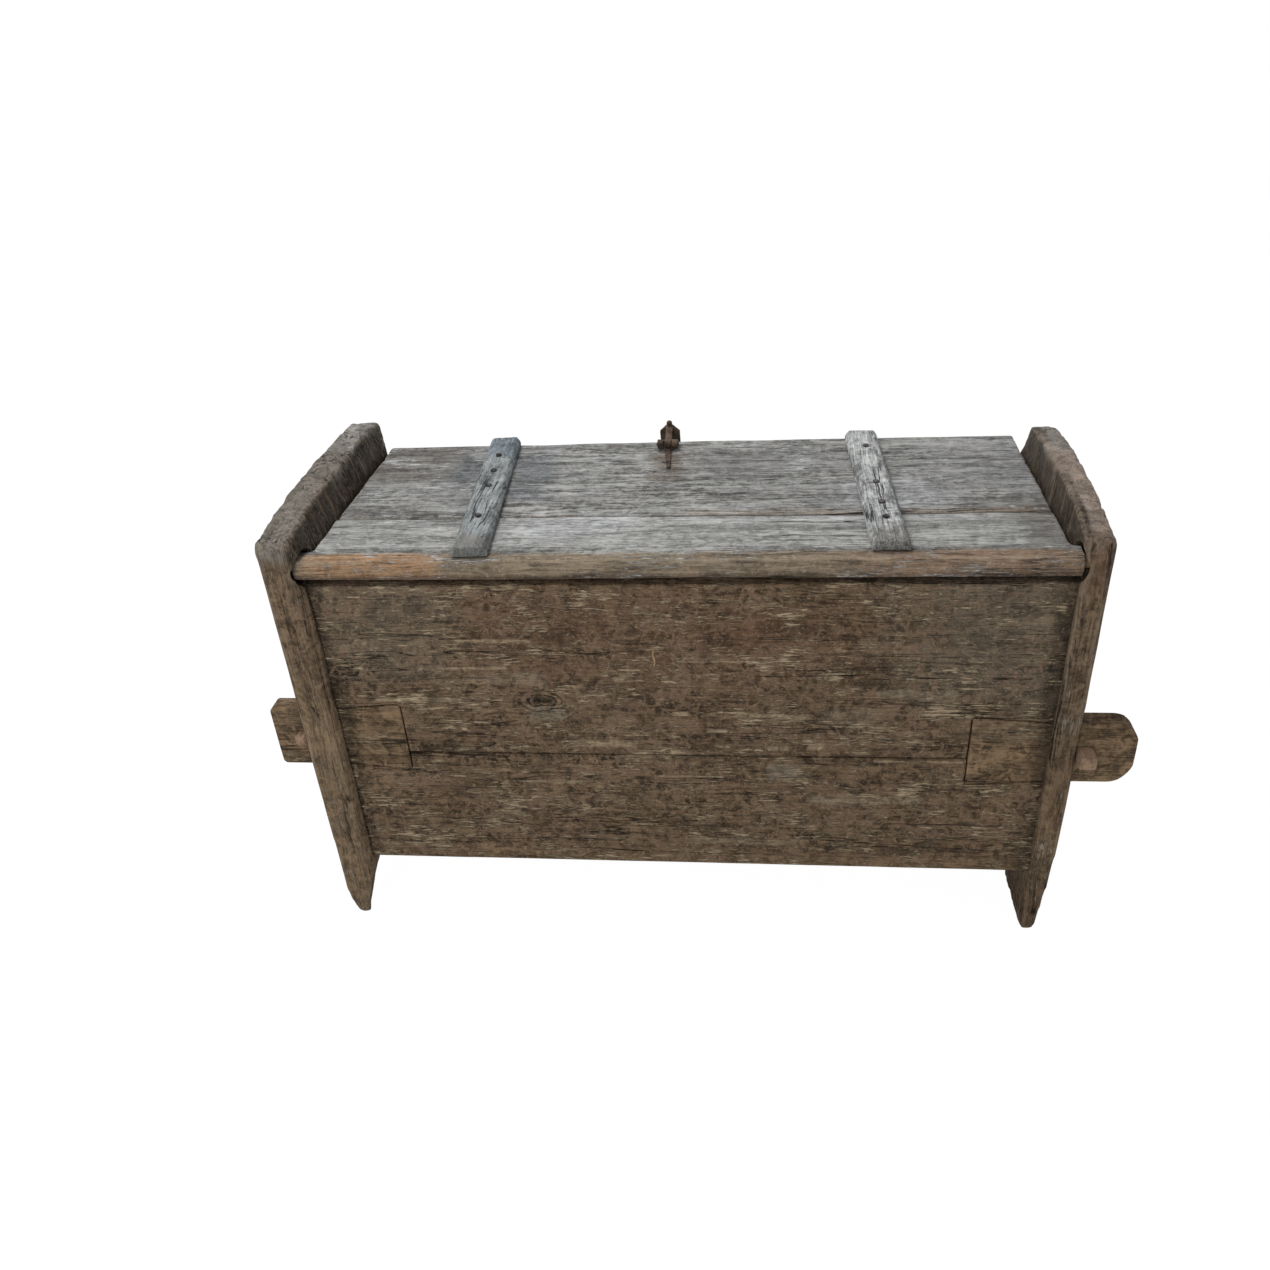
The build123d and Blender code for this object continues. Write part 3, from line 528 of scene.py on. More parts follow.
# %% Stain group
stain_group, given, result = new_group(
    "stain",
    {"Place": ORIGIN, "Centre": ORIGIN, "Half": ORIGIN, "Soft": (0.1, 0.1, 0.1), "Ragged": 0.0},
    ("Inside",),
)
tree = stain_group
away = vector_node(tree, "SUBTRACT", given["Place"], given["Centre"])
away = vector_node(tree, "ABSOLUTE", away, ORIGIN)
ragged = vector_node(tree, "MULTIPLY", given["Soft"], given["Ragged"])
away = vector_node(tree, "ADD", away, ragged)
past = vector_node(tree, "DIVIDE", vector_node(tree, "SUBTRACT", away, given["Half"]), given["Soft"])
split = tree.nodes.new("ShaderNodeSeparateXYZ")
link(past, split.inputs["Vector"])
in_x, in_y, in_z = (between(tree, split.outputs[axis], 0.0, 1.0, 1.0, 0.0) for axis in "XYZ")
in_all = times(tree, times(tree, in_x, in_y), in_z)
link(in_all, result["Inside"])
print("stain has", len(tree.nodes), "nodes")

# %% [markdown]
# ### Worn arrises
# The mesh knows where an arris was lost, and both the wood and the iron show it there. The group
# turns that reading into a rubbed mask, broken up by streaks, and a mask for sunk corners, where
# the wood gets painted shade with some dirt.

# %% Arris group
arris_group, given, result = new_group(
    "worn_arris", {"Arris": 0.0, "Streaks": 1.0, "Start": 0.15, "Full": 0.8}, ("Rubbed", "Sunk")
)
tree = arris_group
rubbed = between(tree, given["Arris"], given["Start"], given["Full"])
rubbed = times(tree, rubbed, between(tree, given["Streaks"], 0.4, 0.58))
link(rubbed, result["Rubbed"])
# Sunk corners: a mask for painted shade in the hollows, with some dirt.
link(between(tree, given["Arris"], -0.5, -0.05, 0.55, 0.0), result["Sunk"])
print("shared effects:", [g.name for g in bpy.data.node_groups])

# %% [markdown]
# ## The wood finish
# Every wooden finish is made by the same steps with its own colours: a dark and a light tone mixed
# by bands and fibres, a second colour in blotches, stains, pale scratches on top, dark cracks, and
# arrises that are rubbed lighter. The first helpers lay one colour over another.

# %% Layers of colour
def mix_colour(tree, factor, below, above):
    node = tree.nodes.new("ShaderNodeMix")
    node.data_type = "RGBA"
    link(factor, node.inputs["Factor"])
    for socket, colour in ((node.inputs[6], below), (node.inputs[7], above)):
        link((*colour, 1.0) if isinstance(colour, tuple) else colour, socket)
    return node.outputs[2]


def layer(tree, colour, mask, strength, above):
    """One more colour over the others, where the mask shows it."""
    return mix_colour(tree, times(tree, mask, strength), colour, above)


print("layer helpers:", mix_colour.__name__, layer.__name__)

# %% [markdown]
# ### Coordinates, tone and stains
# The chest's own coordinates keep a stain in its place, and turned ones let the grain follow each
# board. The tone adds fibres, bands and mottle in shares that make one. A stain's colour gets the
# same light and dark as the wood under it.

# %% Steps of the wood finish
TURN = {"x": (0, 0, 0), "y": (0, 0, math.radians(90)), "z": (0, math.radians(90), 0)}
DARKER, LIGHTER = 0.5, 1.45
RAGGEDNESS = 2.4


def along_grain(tree, coords, grain, seed):
    turned = tree.nodes.new("ShaderNodeMapping")
    turned.inputs["Rotation"].default_value = TURN[grain]
    turned.inputs["Location"].default_value = (seed, seed * 0.7, seed * 0.4)
    link(coords, turned.inputs["Vector"])
    return turned.outputs["Vector"]


def board_tone(tree, wood, mottle):
    along = times(tree, wood["Fibres"], 0.55 * (1.0 - mottle))
    broad = times(tree, wood["Bands"], 0.45 * (1.0 - mottle))
    cloudy = times(tree, wood["Mottle"], mottle)
    return math_node(tree, "ADD", math_node(tree, "ADD", along, broad), cloudy)


def lay_stains_and_shades(tree, colour, coords, place, tone, stains_and_shades):
    """Lays stains and painted shades over a colour. Each is (centre, half size, softness, colour,
    strength).
    """
    ragged = math_node(tree, "SUBTRACT", noise(tree, place, 14.0, 4.0, 0.6), 0.5)
    ragged = times(tree, ragged, RAGGEDNESS)
    for centre, half, soft, stain_colour, strength in stains_and_shades:
        values = {"Place": coords, "Centre": centre, "Half": half, "Soft": soft, "Ragged": ragged}
        spot = use_group(tree, stain_group, values)["Inside"]
        low, high = (tuple(min(k * c, 1.0) for c in stain_colour) for k in (DARKER, LIGHTER))
        shade = mix_colour(tree, between(tree, tone, 0.4, 0.6), low, high)
        colour = layer(tree, colour, spot, strength, shade)
    return colour


print("turns of the grain:", TURN)

# %% [markdown]
# ### Relief
# Fibres, pits and mottle are also felt by the light. They are added up into one height, with the
# cracks cut in and the scratches a little raised, and a Bump node turns that into a normal.

# %% Relief of the wood
FULL_RELIEF = 0.004


def wood_relief(tree, shader, wood, marks, mottle, relief):
    height = times(tree, wood["Fibres"], 0.5)
    for mask, amount in (
        (wood["Streaks"], 0.8),
        (wood["Mottle"], 1.2 * mottle),
        (wood["Cracks"], -0.9),
        (marks["Scratches"], 0.25),
    ):
        height = math_node(tree, "ADD", height, times(tree, mask, amount))
    bump = tree.nodes.new("ShaderNodeBump")
    bump.inputs["Distance"].default_value = FULL_RELIEF * relief
    bump.inputs["Strength"].default_value = 1.0
    link(height, bump.inputs["Height"])
    link(bump.outputs["Normal"], shader.inputs["Normal"])


print("relief is", 1000 * FULL_RELIEF, "mm at most")

# %% [markdown]
# ### One finish from all the steps
# The order of the layers is the order in which a board ages: colour first, then stains, then what
# scratched it, then bare arrises, and last the pits and cracks, which are open through everything.

# %% Build a wood finish
DRY_SHINE = 0.12


def wood_finish(
    name, grain, dark, light, blotch, scratch=(0.32, 0.27, 0.2), rubbed=(0.3, 0.25, 0.19),
    crack=(0.012, 0.008, 0.005), crinkle_colour=(0.2, 0.1, 0.06), contrast=1.0, scuffs=0.5,
    blotches=0.5, crinkles=0.0, curls=0.0, specks=0.35, mottle=0.25, rub=0.6, crack_width=0.008,
    rough=0.8, relief=1.0, stains_and_shades=(), knots=(), seed=0.0,
):
    """A weathered wood material, with its stains and its knots of (centre, reach)."""
    finish = bpy.data.materials.new(name)
    finish.use_nodes = True
    tree = finish.node_tree
    shader = tree.nodes["Principled BSDF"]
    shader.inputs["Specular IOR Level"].default_value = DRY_SHINE
    coords = tree.nodes.new("ShaderNodeTexCoord").outputs["Object"]
    place = along_grain(tree, coords, grain, seed)
    wood = use_group(tree, grain_group, {"Place": place, "Crack Width": crack_width})
    marks = use_group(tree, scuff_group, {"Place": place, "Amount": scuffs})

    tone = board_tone(tree, wood, mottle)
    spread = 0.1 / contrast
    colour = mix_colour(tree, between(tree, tone, 0.5 - spread, 0.5 + spread), dark, light)
    colour = layer(tree, colour, marks["Blotches"], blotches, blotch)
    colour = lay_stains_and_shades(tree, colour, coords, place, tone, stains_and_shades)
    for centre, reach in knots:
        knot = use_group(tree, knot_group, {"Place": coords, "Centre": centre, "Reach": reach})
        colour = layer(tree, colour, knot["Rings"], 0.95, crack)
        colour = layer(tree, colour, knot["Heart"], 0.85, crack)
    colour = layer(tree, colour, marks["Crinkles"], crinkles, crinkle_colour)
    colour = layer(tree, colour, marks["Curls"], curls, scratch)
    colour = layer(tree, colour, marks["Scratches"], 0.75, scratch)
    colour = layer(tree, colour, marks["Specks"], specks, scratch)

    reading = tree.nodes.new("ShaderNodeAttribute")
    reading.attribute_name = "arris"
    arris = use_group(tree, arris_group, {"Arris": reading.outputs["Fac"], "Streaks": wood["Streaks"]})
    colour = layer(tree, colour, arris["Rubbed"], rub, rubbed)
    # Sunk corners darkened to the crack colour: painted shade, with some dirt.
    colour = mix_colour(tree, arris["Sunk"], colour, crack)
    colour = mix_colour(tree, between(tree, wood["Streaks"], 0.34, 0.46, 0.7, 0.0), colour, crack)
    colour = layer(tree, colour, wood["Cracks"], 0.92, crack)
    link(colour, shader.inputs["Base Color"])
    rough_here = between(tree, wood["Fibres"], 0.3, 0.7, rough - 0.12, min(rough + 0.1, 1.0))
    link(rough_here, shader.inputs["Roughness"])
    wood_relief(tree, shader, wood, marks, mottle, relief)
    return finish


def paint(pieces, finish):
    for piece in pieces:
        piece.data.materials.clear()
        piece.data.materials.append(finish)


print("finishes can use", len(bpy.data.node_groups), "groups")

# %% [markdown]
# ## The lid
# Two planks with a seam that has opened unevenly. Their outline is bitten by a random field that
# only changes along the lid: at the seam, along the lower front edge, where a dark slit shows,
# and along the wavy far edge. This comes before the wear, so the new edges are rounded too.

# %% Lid boards
SEAM_BITE, SEAM_REACH = 0.0042, 0.012
SLIT_BITE, SLIT_REACH = 0.0045, 0.007
FAR_BITE, FAR_REACH = 0.0045, 0.05


def wavy_seam(points):
    """Opens the seam between the planks and the slit under the lid by up to four millimetres."""
    points = points.copy()
    far = points[:, 1].max()
    at_seam = np.clip((points[:, 1] - (far - SEAM_REACH)) / SEAM_REACH, 0.0, 1.0)
    bite = np.clip(0.55 + 0.6 * layered(points * (6.0, 0.0, 0.0) + 1.1, 19), 0.0, 1.0)
    points[:, 1] -= SEAM_BITE * at_seam * bite
    low = points[:, 2].min()
    at_lower_edge = np.clip((low + SLIT_REACH - points[:, 2]) / SLIT_REACH, 0.0, 1.0)
    at_lower_edge *= np.clip((points[:, 1].min() + 0.035 - points[:, 1]) / 0.02, 0.0, 1.0)
    lift = np.clip(0.6 + 0.5 * layered(points * (7.0, 0.0, 0.0) + 5.7, 23), 0.0, 1.0)
    points[:, 2] += SLIT_BITE * at_lower_edge * lift
    return points


def wavy_edge(points):
    """Takes up to four millimetres off the lid's latch edge, more here and less there."""
    points = points.copy()
    far = points[:, 1].max()
    near_edge = np.clip((points[:, 1] - (far - FAR_REACH)) / FAR_REACH, 0.0, 1.0)
    bite = 0.5 + 0.5 * layered(points * (9.0, 0.0, 0.0) + 3.3, 77)
    points[:, 1] -= FAR_BITE * near_edge * bite
    return points


lid_boards = [
    worn_board("lid_hinge_board", "x", 11, 0.003, rounding=7, chips=0.0025, sink=0.0014, reshape=wavy_seam),
    worn_board("lid_latch_board", "x", 12, 0.0035, rounding=5, chips=0.002, sink=0.0014, reshape=wavy_edge),
]
print("lid boards:", [len(b.data.vertices) for b in lid_boards], "points")

# %% [markdown]
# ### Silver on the lid
# Light and dust have bleached the lid silver. The plank nearest the viewer is the palest, the far
# left corner is brown, and there are blue-black marks of damp beside the left batten, with a painted
# shadow of the batten on its right. The hinge edge, where hands lift the lid, is tan, and orange at
# its left end. Rust has run from the hasp.

# %% Lid stains and finish
ENDLESS = 9.0


def on_lid(x, from_edge, half_x, half_y, soft_x, soft_y, colour, strength, soft_z=0.01):
    """A stain on the lid's top, placed from the chest's middle and from the hinge edge."""
    centre = (x, edge_y + from_edge, lid_top_z)
    return (centre, (half_x, half_y, 0.03), (soft_x, soft_y, soft_z), colour, strength)


def on_edge(x, below_top, half, soft, colour, strength):
    """A stain along the lid's hinge edge."""
    return ((x, edge_y, lid_top_z - below_top), half, soft, colour, strength)


lid_silver = wood_finish(
    "silvered_lid_wood", "x", dark=(0.055, 0.051, 0.046), light=(0.45, 0.447, 0.43),
    blotch=(0.15, 0.15, 0.148), scratch=(0.56, 0.57, 0.56), rubbed=(0.36, 0.3, 0.22),
    crack=(0.02, 0.018, 0.015), contrast=1.4, scuffs=0.74, blotches=0.42, specks=0.4, mottle=0.3,
    rub=0.5, rough=0.78, relief=0.9,
    stains_and_shades=(
        on_lid(0.0, 0.08, ENDLESS, 0.035, 0.1, 0.025, (0.38, 0.38, 0.36), 0.6),
        on_lid(-0.43, 0.33, 0.04, 0.05, 0.07, 0.06, (0.11, 0.095, 0.083), 0.65),
        on_lid(-0.33, 0.3, 0.015, 0.03, 0.04, 0.05, (0.075, 0.085, 0.1), 0.7),
        # Painted shadow of the left batten, on its right side, away from the lamps.
        on_lid(-0.235, 0.28, 0.008, 0.06, 0.045, 0.07, (0.1, 0.11, 0.125), 0.6),
        on_lid(0.29, 0.18, 0.03, 0.03, 0.06, 0.05, (0.46, 0.47, 0.48), 0.5),
        on_lid(-0.16, 0.1, 0.05, 0.02, 0.09, 0.03, (0.46, 0.475, 0.485), 0.45),
        on_lid(0.12, 0.12, 0.1, 0.01, 0.08, 0.02, (0.48, 0.48, 0.475), 0.45),
        on_lid(0.14, 0.33, 0.08, 0.02, 0.08, 0.04, (0.17, 0.165, 0.16), 0.5),
        on_lid(0.46, 0.1, 0.015, 0.06, 0.03, 0.03, (0.14, 0.125, 0.11), 0.6),
        on_lid(-0.44, 0.16, 0.03, 0.012, 0.05, 0.02, (0.13, 0.12, 0.11), 0.6),
        on_lid(0.42, 0.3, 0.05, 0.06, 0.06, 0.06, (0.29, 0.285, 0.29), 0.5),
        on_lid(-0.036, 0.3, 0.01, 0.03, 0.03, 0.05, (0.11, 0.08, 0.052), 0.65, 0.03),
        on_edge(0.0, 0.018, (ENDLESS, 0.014, 0.05), (0.05, 0.016, 0.01), (0.235, 0.18, 0.122), 0.95),
        on_edge(-0.41, 0.014, (0.06, 0.02, 0.014), (0.06, 0.008, 0.008), (0.36, 0.215, 0.118), 0.85),
        on_edge(0.38, 0.014, (0.1, 0.017, 0.014), (0.1, 0.008, 0.008), (0.23, 0.145, 0.095), 0.6),
        on_edge(0.0, 0.034, (ENDLESS, 0.017, 0.008), (0.05, 0.008, 0.008), (0.085, 0.055, 0.036), 0.8),
        on_lid(0.25, 0.137, 0.22, 0.004, 0.06, 0.01, (0.2, 0.14, 0.09), 0.45, 0.03),
    ),
    seed=1.7,
)
paint(lid_boards, lid_silver)
print("lid finish has", len(lid_silver.node_tree.nodes), "nodes")

# %% [markdown]
# ## Battens
# Two strips hold the planks together. They are greyer and bluer than the lid, the left one
# darker than the right, and dirty at their hinge ends. Their grain runs across the lid's, so
# they are worn and coloured along Y.

# %% Lid battens
battens = [
    worn_board(side + "_lid_batten", "y", 21 + k, 0.0018, rounding=7, chips=0.0015, sink=0.001)
    for k, side in enumerate(("left", "right"))
]


def on_battens(x, from_edge, half, soft, colour, strength):
    """A stain on the battens' tops, placed from the chest's middle and from the hinge edge."""
    return ((x, edge_y + from_edge, lid_top_z + 0.01), half, soft, colour, strength)


batten_grey = wood_finish(
    "grey_batten_wood", "y", dark=(0.1, 0.103, 0.102), light=(0.66, 0.67, 0.66),
    blotch=(0.2, 0.21, 0.215), scratch=(0.6, 0.62, 0.62), rubbed=(0.5, 0.51, 0.5),
    crack=(0.025, 0.025, 0.025), contrast=1.1, scuffs=0.68, blotches=0.4, mottle=0.4, rub=0.45,
    relief=0.9,
    stains_and_shades=(
        on_battens(-0.29, 0.0, (0.1, ENDLESS, 0.03), (0.03, 0.1, 0.01), (0.185, 0.205, 0.21), 0.75),
        on_battens(-0.27, 0.37, (0.06, 0.03, 0.03), (0.03, 0.05, 0.01), (0.13, 0.165, 0.2), 0.6),
        on_battens(0.0, 0.025, (ENDLESS, 0.012, 0.03), (0.1, 0.03, 0.01), (0.12, 0.105, 0.085), 0.6),
    ),
    seed=4.1,
)
paint(battens, batten_grey)
print("battens:", [len(b.data.vertices) for b in battens], "points")

# %% [markdown]
# ## End boards
# The heavy boards at the ends stand on their own feet, with the grain upright. They have lost more
# at their corners than any other piece. The left board's foot on the hinge side has worn to a
# narrow tip, so it is drawn in from the inside before the wear.

# %% End boards
TIP_HEIGHT = 0.05
TIP_DRAWN_IN = 0.006


def left_foot_tip(points):
    """Draws the left board's hinge side foot in to a narrow tip from the inside."""
    points = points.copy()
    inner = points[:, 0].max()
    low = np.clip((TIP_HEIGHT - points[:, 2]) / TIP_HEIGHT, 0.0, 1.0)
    near = np.clip((edge_y + 0.06 - points[:, 1]) / 0.03, 0.0, 1.0)
    inwards = np.clip((points[:, 0] - (inner - 0.045)) / 0.02, 0.0, 1.0)
    points[:, 0] -= TIP_DRAWN_IN * low * near * inwards
    return points


end_wear = dict(voxel=0.0038, rounding=8, chips=0.003, sink=0.002)
left_board = worn_board("left_end_board", "z", 31, **end_wear, reshape=left_foot_tip)
right_board = worn_board("right_end_board", "z", 32, **end_wear)
left_low, left_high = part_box("left_end_board")
right_low, right_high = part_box("right_end_board")
print("end boards:", len(left_board.data.vertices), len(right_board.data.vertices), "points")

# %% [markdown]
# ### Dirt, painted shade and weather on the end boards
# Their tops are end grain, grey and pitted, and whiter towards the latch side. The inner faces
# above the lid are painted almost black along the lid, as painted shade with some dirt, with thin
# tan lines down them where the black came off. Each line is a very narrow stain.

# %% Stains of an end board
def end_board_stains_and_shade(inner_x, outwards, top_colour, far_white):
    """Painted shade with some dirt on the inner face along the lid, and the colours of the weathered top.
    """
    top = lid_top_z + 0.05
    # Near black band on the inner face along the lid's top: painted shade, with some dirt.
    lid_contact_shade_and_dirt = (inner_x - 0.006 * outwards, 0.0, lid_top_z + 0.005)
    return (
        ((inner_x, 0.0, top), (0.2, ENDLESS, 0.03), (0.02, 0.1, 0.03), top_colour, 0.8),
        ((inner_x, far_white, top), (0.2, 0.06, 0.03), (0.02, 0.08, 0.02), (0.34, 0.33, 0.31), 0.6),
        (lid_contact_shade_and_dirt, (0.012, ENDLESS, 0.026), (0.006, 0.1, 0.02), (0.043, 0.033, 0.024), 0.88),
    )


def tan_streaks(inner_x, starts, slant):
    """Thin tan lines down the dark inner face, where the chisel took the black off."""
    lines = []
    for k, y in enumerate(starts):
        centre = (inner_x + 0.001 * (k % 3), y + slant * (k % 3), lid_top_z + 0.014 + 0.008 * (k % 2))
        lines.append((centre, (0.02, 0.0008, 0.012), (0.01, 0.003, 0.012), (0.2, 0.145, 0.09), 0.6))
    return lines


print("broad stains on an end board:", len(end_board_stains_and_shade(0.0, 1, ORIGIN, 0.0)))

# %% [markdown]
# ### Brown of the end boards
# Both boards share their browns and differ in their stains. The left one is paler near its foot,
# and the right one is reddish at its upper corner.

# %% Finish the end boards
end_browns = dict(
    dark=(0.048, 0.03, 0.017), light=(0.265, 0.185, 0.118), blotch=(0.098, 0.068, 0.042),
    scratch=(0.33, 0.28, 0.22), rubbed=(0.32, 0.25, 0.18), contrast=1.4, scuffs=0.72, curls=0.15,
    blotches=0.4, mottle=0.45, rub=0.6, crack_width=0.014, relief=1.3,
)
left_wood = wood_finish(
    "left_end_wood", "z",
    **end_browns,
    stains_and_shades=(
        *end_board_stains_and_shade(left_high.x - 0.005, -1, (0.23, 0.212, 0.188), 0.15),
        *tan_streaks(left_high.x - 0.008, (-0.13, -0.1, -0.074, -0.03, 0.002, 0.04, 0.075, 0.12), 0.004),
        ((left_low.x, left_low.y, 0.2), (0.2, 0.05, 0.16), (0.05, 0.05, 0.12), (0.225, 0.158, 0.093), 0.65),
    ),
    seed=6.3,
)
upper_corner = (right_high.x, right_low.y, lid_top_z)
right_foot = (right_high.x, right_low.y, 0.15)
right_wood = wood_finish(
    "right_end_wood", "z",
    **end_browns,
    stains_and_shades=(
        *end_board_stains_and_shade(right_low.x + 0.005, 1, (0.37, 0.3, 0.252), 0.1),
        *tan_streaks(right_low.x + 0.004, (-0.14, -0.1, -0.05, 0.01, 0.06, 0.11), 0.003),
        (upper_corner, (0.06, 0.02, 0.03), (0.03, 0.02, 0.05), (0.15, 0.092, 0.06), 0.75),
        (right_foot, (0.1, 0.05, 0.12), (0.03, 0.05, 0.1), (0.165, 0.11, 0.063), 0.65),
    ),
    seed=8.9,
)
paint([left_board], left_wood)
paint([right_board], right_wood)
print("end finishes have", len(left_wood.node_tree.nodes), len(right_wood.node_tree.nodes), "nodes")

# %% [markdown]
# ## Walls
# Each long wall is two boards, and their joint hardly shows. Their edges are therefore not rounded
# at all, only sunk a little with the faces. The latch wall has larger squares, because it is plain.

# %% Wall boards
walls = [
    worn_board(f"{side}_wall_{row}_board", "x", seed, voxel, rounding=0, chips=0.0004, sink=0.0012)
    for side, row, seed, voxel in (
        ("hinge", "upper", 41, 0.003),
        ("hinge", "lower", 42, 0.003),
        ("latch", "upper", 43, 0.005),
        ("latch", "lower", 44, 0.005),
    )
]
front_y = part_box("hinge_wall_lower_board")[0].y
print("wall boards:", [len(b.data.vertices) for b in walls], "points")

# %% [markdown]
# ### Marks on the walls
# The walls are dark with age. They have a lighter band along the foot, a reddish middle, greyish
# upper corners, and dark bands beside the end boards, painted shade of the corners with some dirt.
# Pale flecks and long scratches lie over that.
# Every mark is one line of a table: its place from the chest's middle and below the lid's top, its
# half sizes, its softness, its colour and its strength.

# %% Wall stains
def on_wall(x, below_lid, half_x, half_z, soft, colour, strength):
    """A stain through the walls, placed from the middle of the chest and from the lid's top."""
    centre = (x, front_y, lid_top_z - below_lid)
    return (centre, (half_x, ENDLESS, half_z), (soft * 1.6, 0.1, soft), colour, strength)


pale = (0.42, 0.33, 0.215)
broad_stains = (
    (0.0, 0.54, 2.0, 0.024, 0.03, (0.19, 0.125, 0.072), 0.75),
    (-0.03, 0.13, 0.2, 0.04, 0.06, (0.135, 0.077, 0.047), 0.5),
    (-0.43, 0.1, 0.06, 0.06, 0.05, (0.15, 0.12, 0.086), 0.6),
    (0.4, 0.12, 0.06, 0.08, 0.06, (0.145, 0.12, 0.09), 0.6),
)
wall_marks_and_corner_shade = (
    (0.43, 0.272, 0.07, 0.012, 0.012, (0.185, 0.13, 0.08), 0.7),
    (0.1, 0.11, 0.012, 0.008, 0.03, (0.16, 0.082, 0.05), 0.3),
    # Painted shade: dark bands on the wall beside the two end boards, where the corners are shaded, with
    # some dirt.
    (-0.499, 0.3, 0.004, 0.4, 0.012, (0.028, 0.02, 0.013), 0.75),
    (0.4875, 0.3, 0.004, 0.4, 0.012, (0.035, 0.024, 0.015), 0.65),
)
flecks = (
    (0.08, 0.479, 0.07, 0.003, 0.005, (0.23, 0.175, 0.115), 0.8),
    (-0.01, 0.246, 0.008, 0.002, 0.003, pale, 0.95),
    (0.127, 0.251, 0.036, 0.003, 0.005, pale, 0.75),
    (0.041, 0.275, 0.01, 0.0012, 0.003, pale, 0.7),
    (0.119, 0.305, 0.005, 0.0025, 0.003, pale, 0.9),
    (0.134, 0.305, 0.0035, 0.0025, 0.003, pale, 0.8),
    (0.178, 0.301, 0.008, 0.004, 0.004, pale, 0.55),
    (0.138, 0.347, 0.014, 0.006, 0.01, (0.24, 0.2, 0.15), 0.7),
    (0.003, 0.357, 0.045, 0.0008, 0.002, pale, 0.75),
    (-0.31, 0.172, 0.06, 0.0012, 0.003, pale, 0.6),
    (-0.38, 0.225, 0.06, 0.0015, 0.003, pale, 0.6),
    (-0.26, 0.128, 0.05, 0.0008, 0.003, pale, 0.5),
    (0.06, 0.16, 0.07, 0.0008, 0.002, pale, 0.5),
    (0.31, 0.21, 0.05, 0.003, 0.006, (0.3, 0.25, 0.18), 0.5),
    (-0.2, 0.37, 0.05, 0.001, 0.003, pale, 0.55),
    (0.34, 0.325, 0.08, 0.0008, 0.002, pale, 0.45),
    (0.25, 0.396, 0.07, 0.003, 0.009, (0.27, 0.22, 0.155), 0.65),
    (0.22, 0.25, 0.03, 0.008, 0.012, (0.2, 0.16, 0.115), 0.5),
    (-0.25, 0.19, 0.05, 0.004, 0.01, (0.24, 0.19, 0.135), 0.55),
    (-0.195, 0.246, 0.02, 0.007, 0.008, (0.25, 0.21, 0.16), 0.65),
    (-0.12, 0.3, 0.04, 0.002, 0.006, pale, 0.5),
)
wall_knots = (
    ((-0.204, front_y, lid_top_z - 0.226), 0.032),
    ((-0.476, front_y, lid_top_z - 0.175), 0.034),
)
print("marks on the walls:", len(broad_stains) + len(wall_marks_and_corner_shade) + len(flecks))

# %% [markdown]
# ### Brown of the walls
# More mottle than grain, many scratches and the crinkled coating. It is a little less matt than
# the rest of the chest.

# %% Finish the walls
wall_brown = wood_finish(
    "dark_wall_wood", "x", dark=(0.034, 0.021, 0.012), light=(0.225, 0.15, 0.09),
    blotch=(0.075, 0.048, 0.028), scratch=(0.5, 0.395, 0.26), rubbed=(0.25, 0.19, 0.125),
    contrast=1.45, scuffs=0.77, curls=0.42, crinkles=0.8, crinkle_colour=(0.215, 0.142, 0.095),
    mottle=0.55, specks=0.55, rub=0.35, crack_width=0.007, rough=0.62, relief=1.1,
    stains_and_shades=tuple(on_wall(*row) for row in broad_stains + wall_marks_and_corner_shade + flecks),
    knots=wall_knots, seed=2.9,
)
paint(walls, wall_brown)
print("wall finish has", len(wall_brown.node_tree.nodes), "nodes")

# %% [markdown]
# ## Tenon blocks
# The blocks are let into the walls flush, and their tenons come out through the end boards. The
# right hand tenons end like a spoon: their height shrinks towards the tip, slowly at first.

# %% Tenon blocks
SPOON_LENGTH = 0.034
SPOON_NARROWING = 0.34
SPOON_LIFT = 0.006
CORNERS = [(side, end) for side in ("hinge", "latch") for end in ("left", "right")]


def round_right_tip(points):
    """Rounds the outer end of a right hand tenon like the end of a spoon."""
    tip = points[:, 0].max()
    if tip < 0.0:
        return points
    points = points.copy()
    past = np.clip((points[:, 0] - (tip - SPOON_LENGTH)) / SPOON_LENGTH, 0.0, 1.0)
    narrow = 1.0 - SPOON_NARROWING * past**2.2
    middle = (points[:, 2].min() + points[:, 2].max()) / 2 + SPOON_LIFT
    points[:, 2] = middle + (points[:, 2] - middle) * narrow
    return points


block_wear = dict(voxel=0.002, rounding=1, chips=0.001, sink=0.001, reshape=round_right_tip)
blocks = [
    worn_board(f"{side}_{end}_tenon_block", "x", 51 + k, **block_wear)
    for k, (side, end) in enumerate(CORNERS)
]
block_brown = wood_finish(
    "tenon_block_wood", "x", dark=(0.055, 0.035, 0.019), light=(0.29, 0.195, 0.112),
    blotch=(0.1, 0.068, 0.04), scratch=(0.38, 0.3, 0.205), rubbed=(0.25, 0.19, 0.125), contrast=1.4,
    scuffs=0.74, curls=0.3, mottle=0.5, rub=0.35, rough=0.65,
    stains_and_shades=tuple(on_wall(*row) for row in wall_marks_and_corner_shade),
    seed=2.9,
)
paint(blocks, block_brown)
print("tenon blocks:", [len(b.data.vertices) for b in blocks], "points")

# %% [markdown]
# ## A splinter
# One sliver of pale wood stands off the wall, a little left of its middle. It is a short chain of
# small rings, thick in the middle and thin at both ends, and a subdivision makes it smooth.

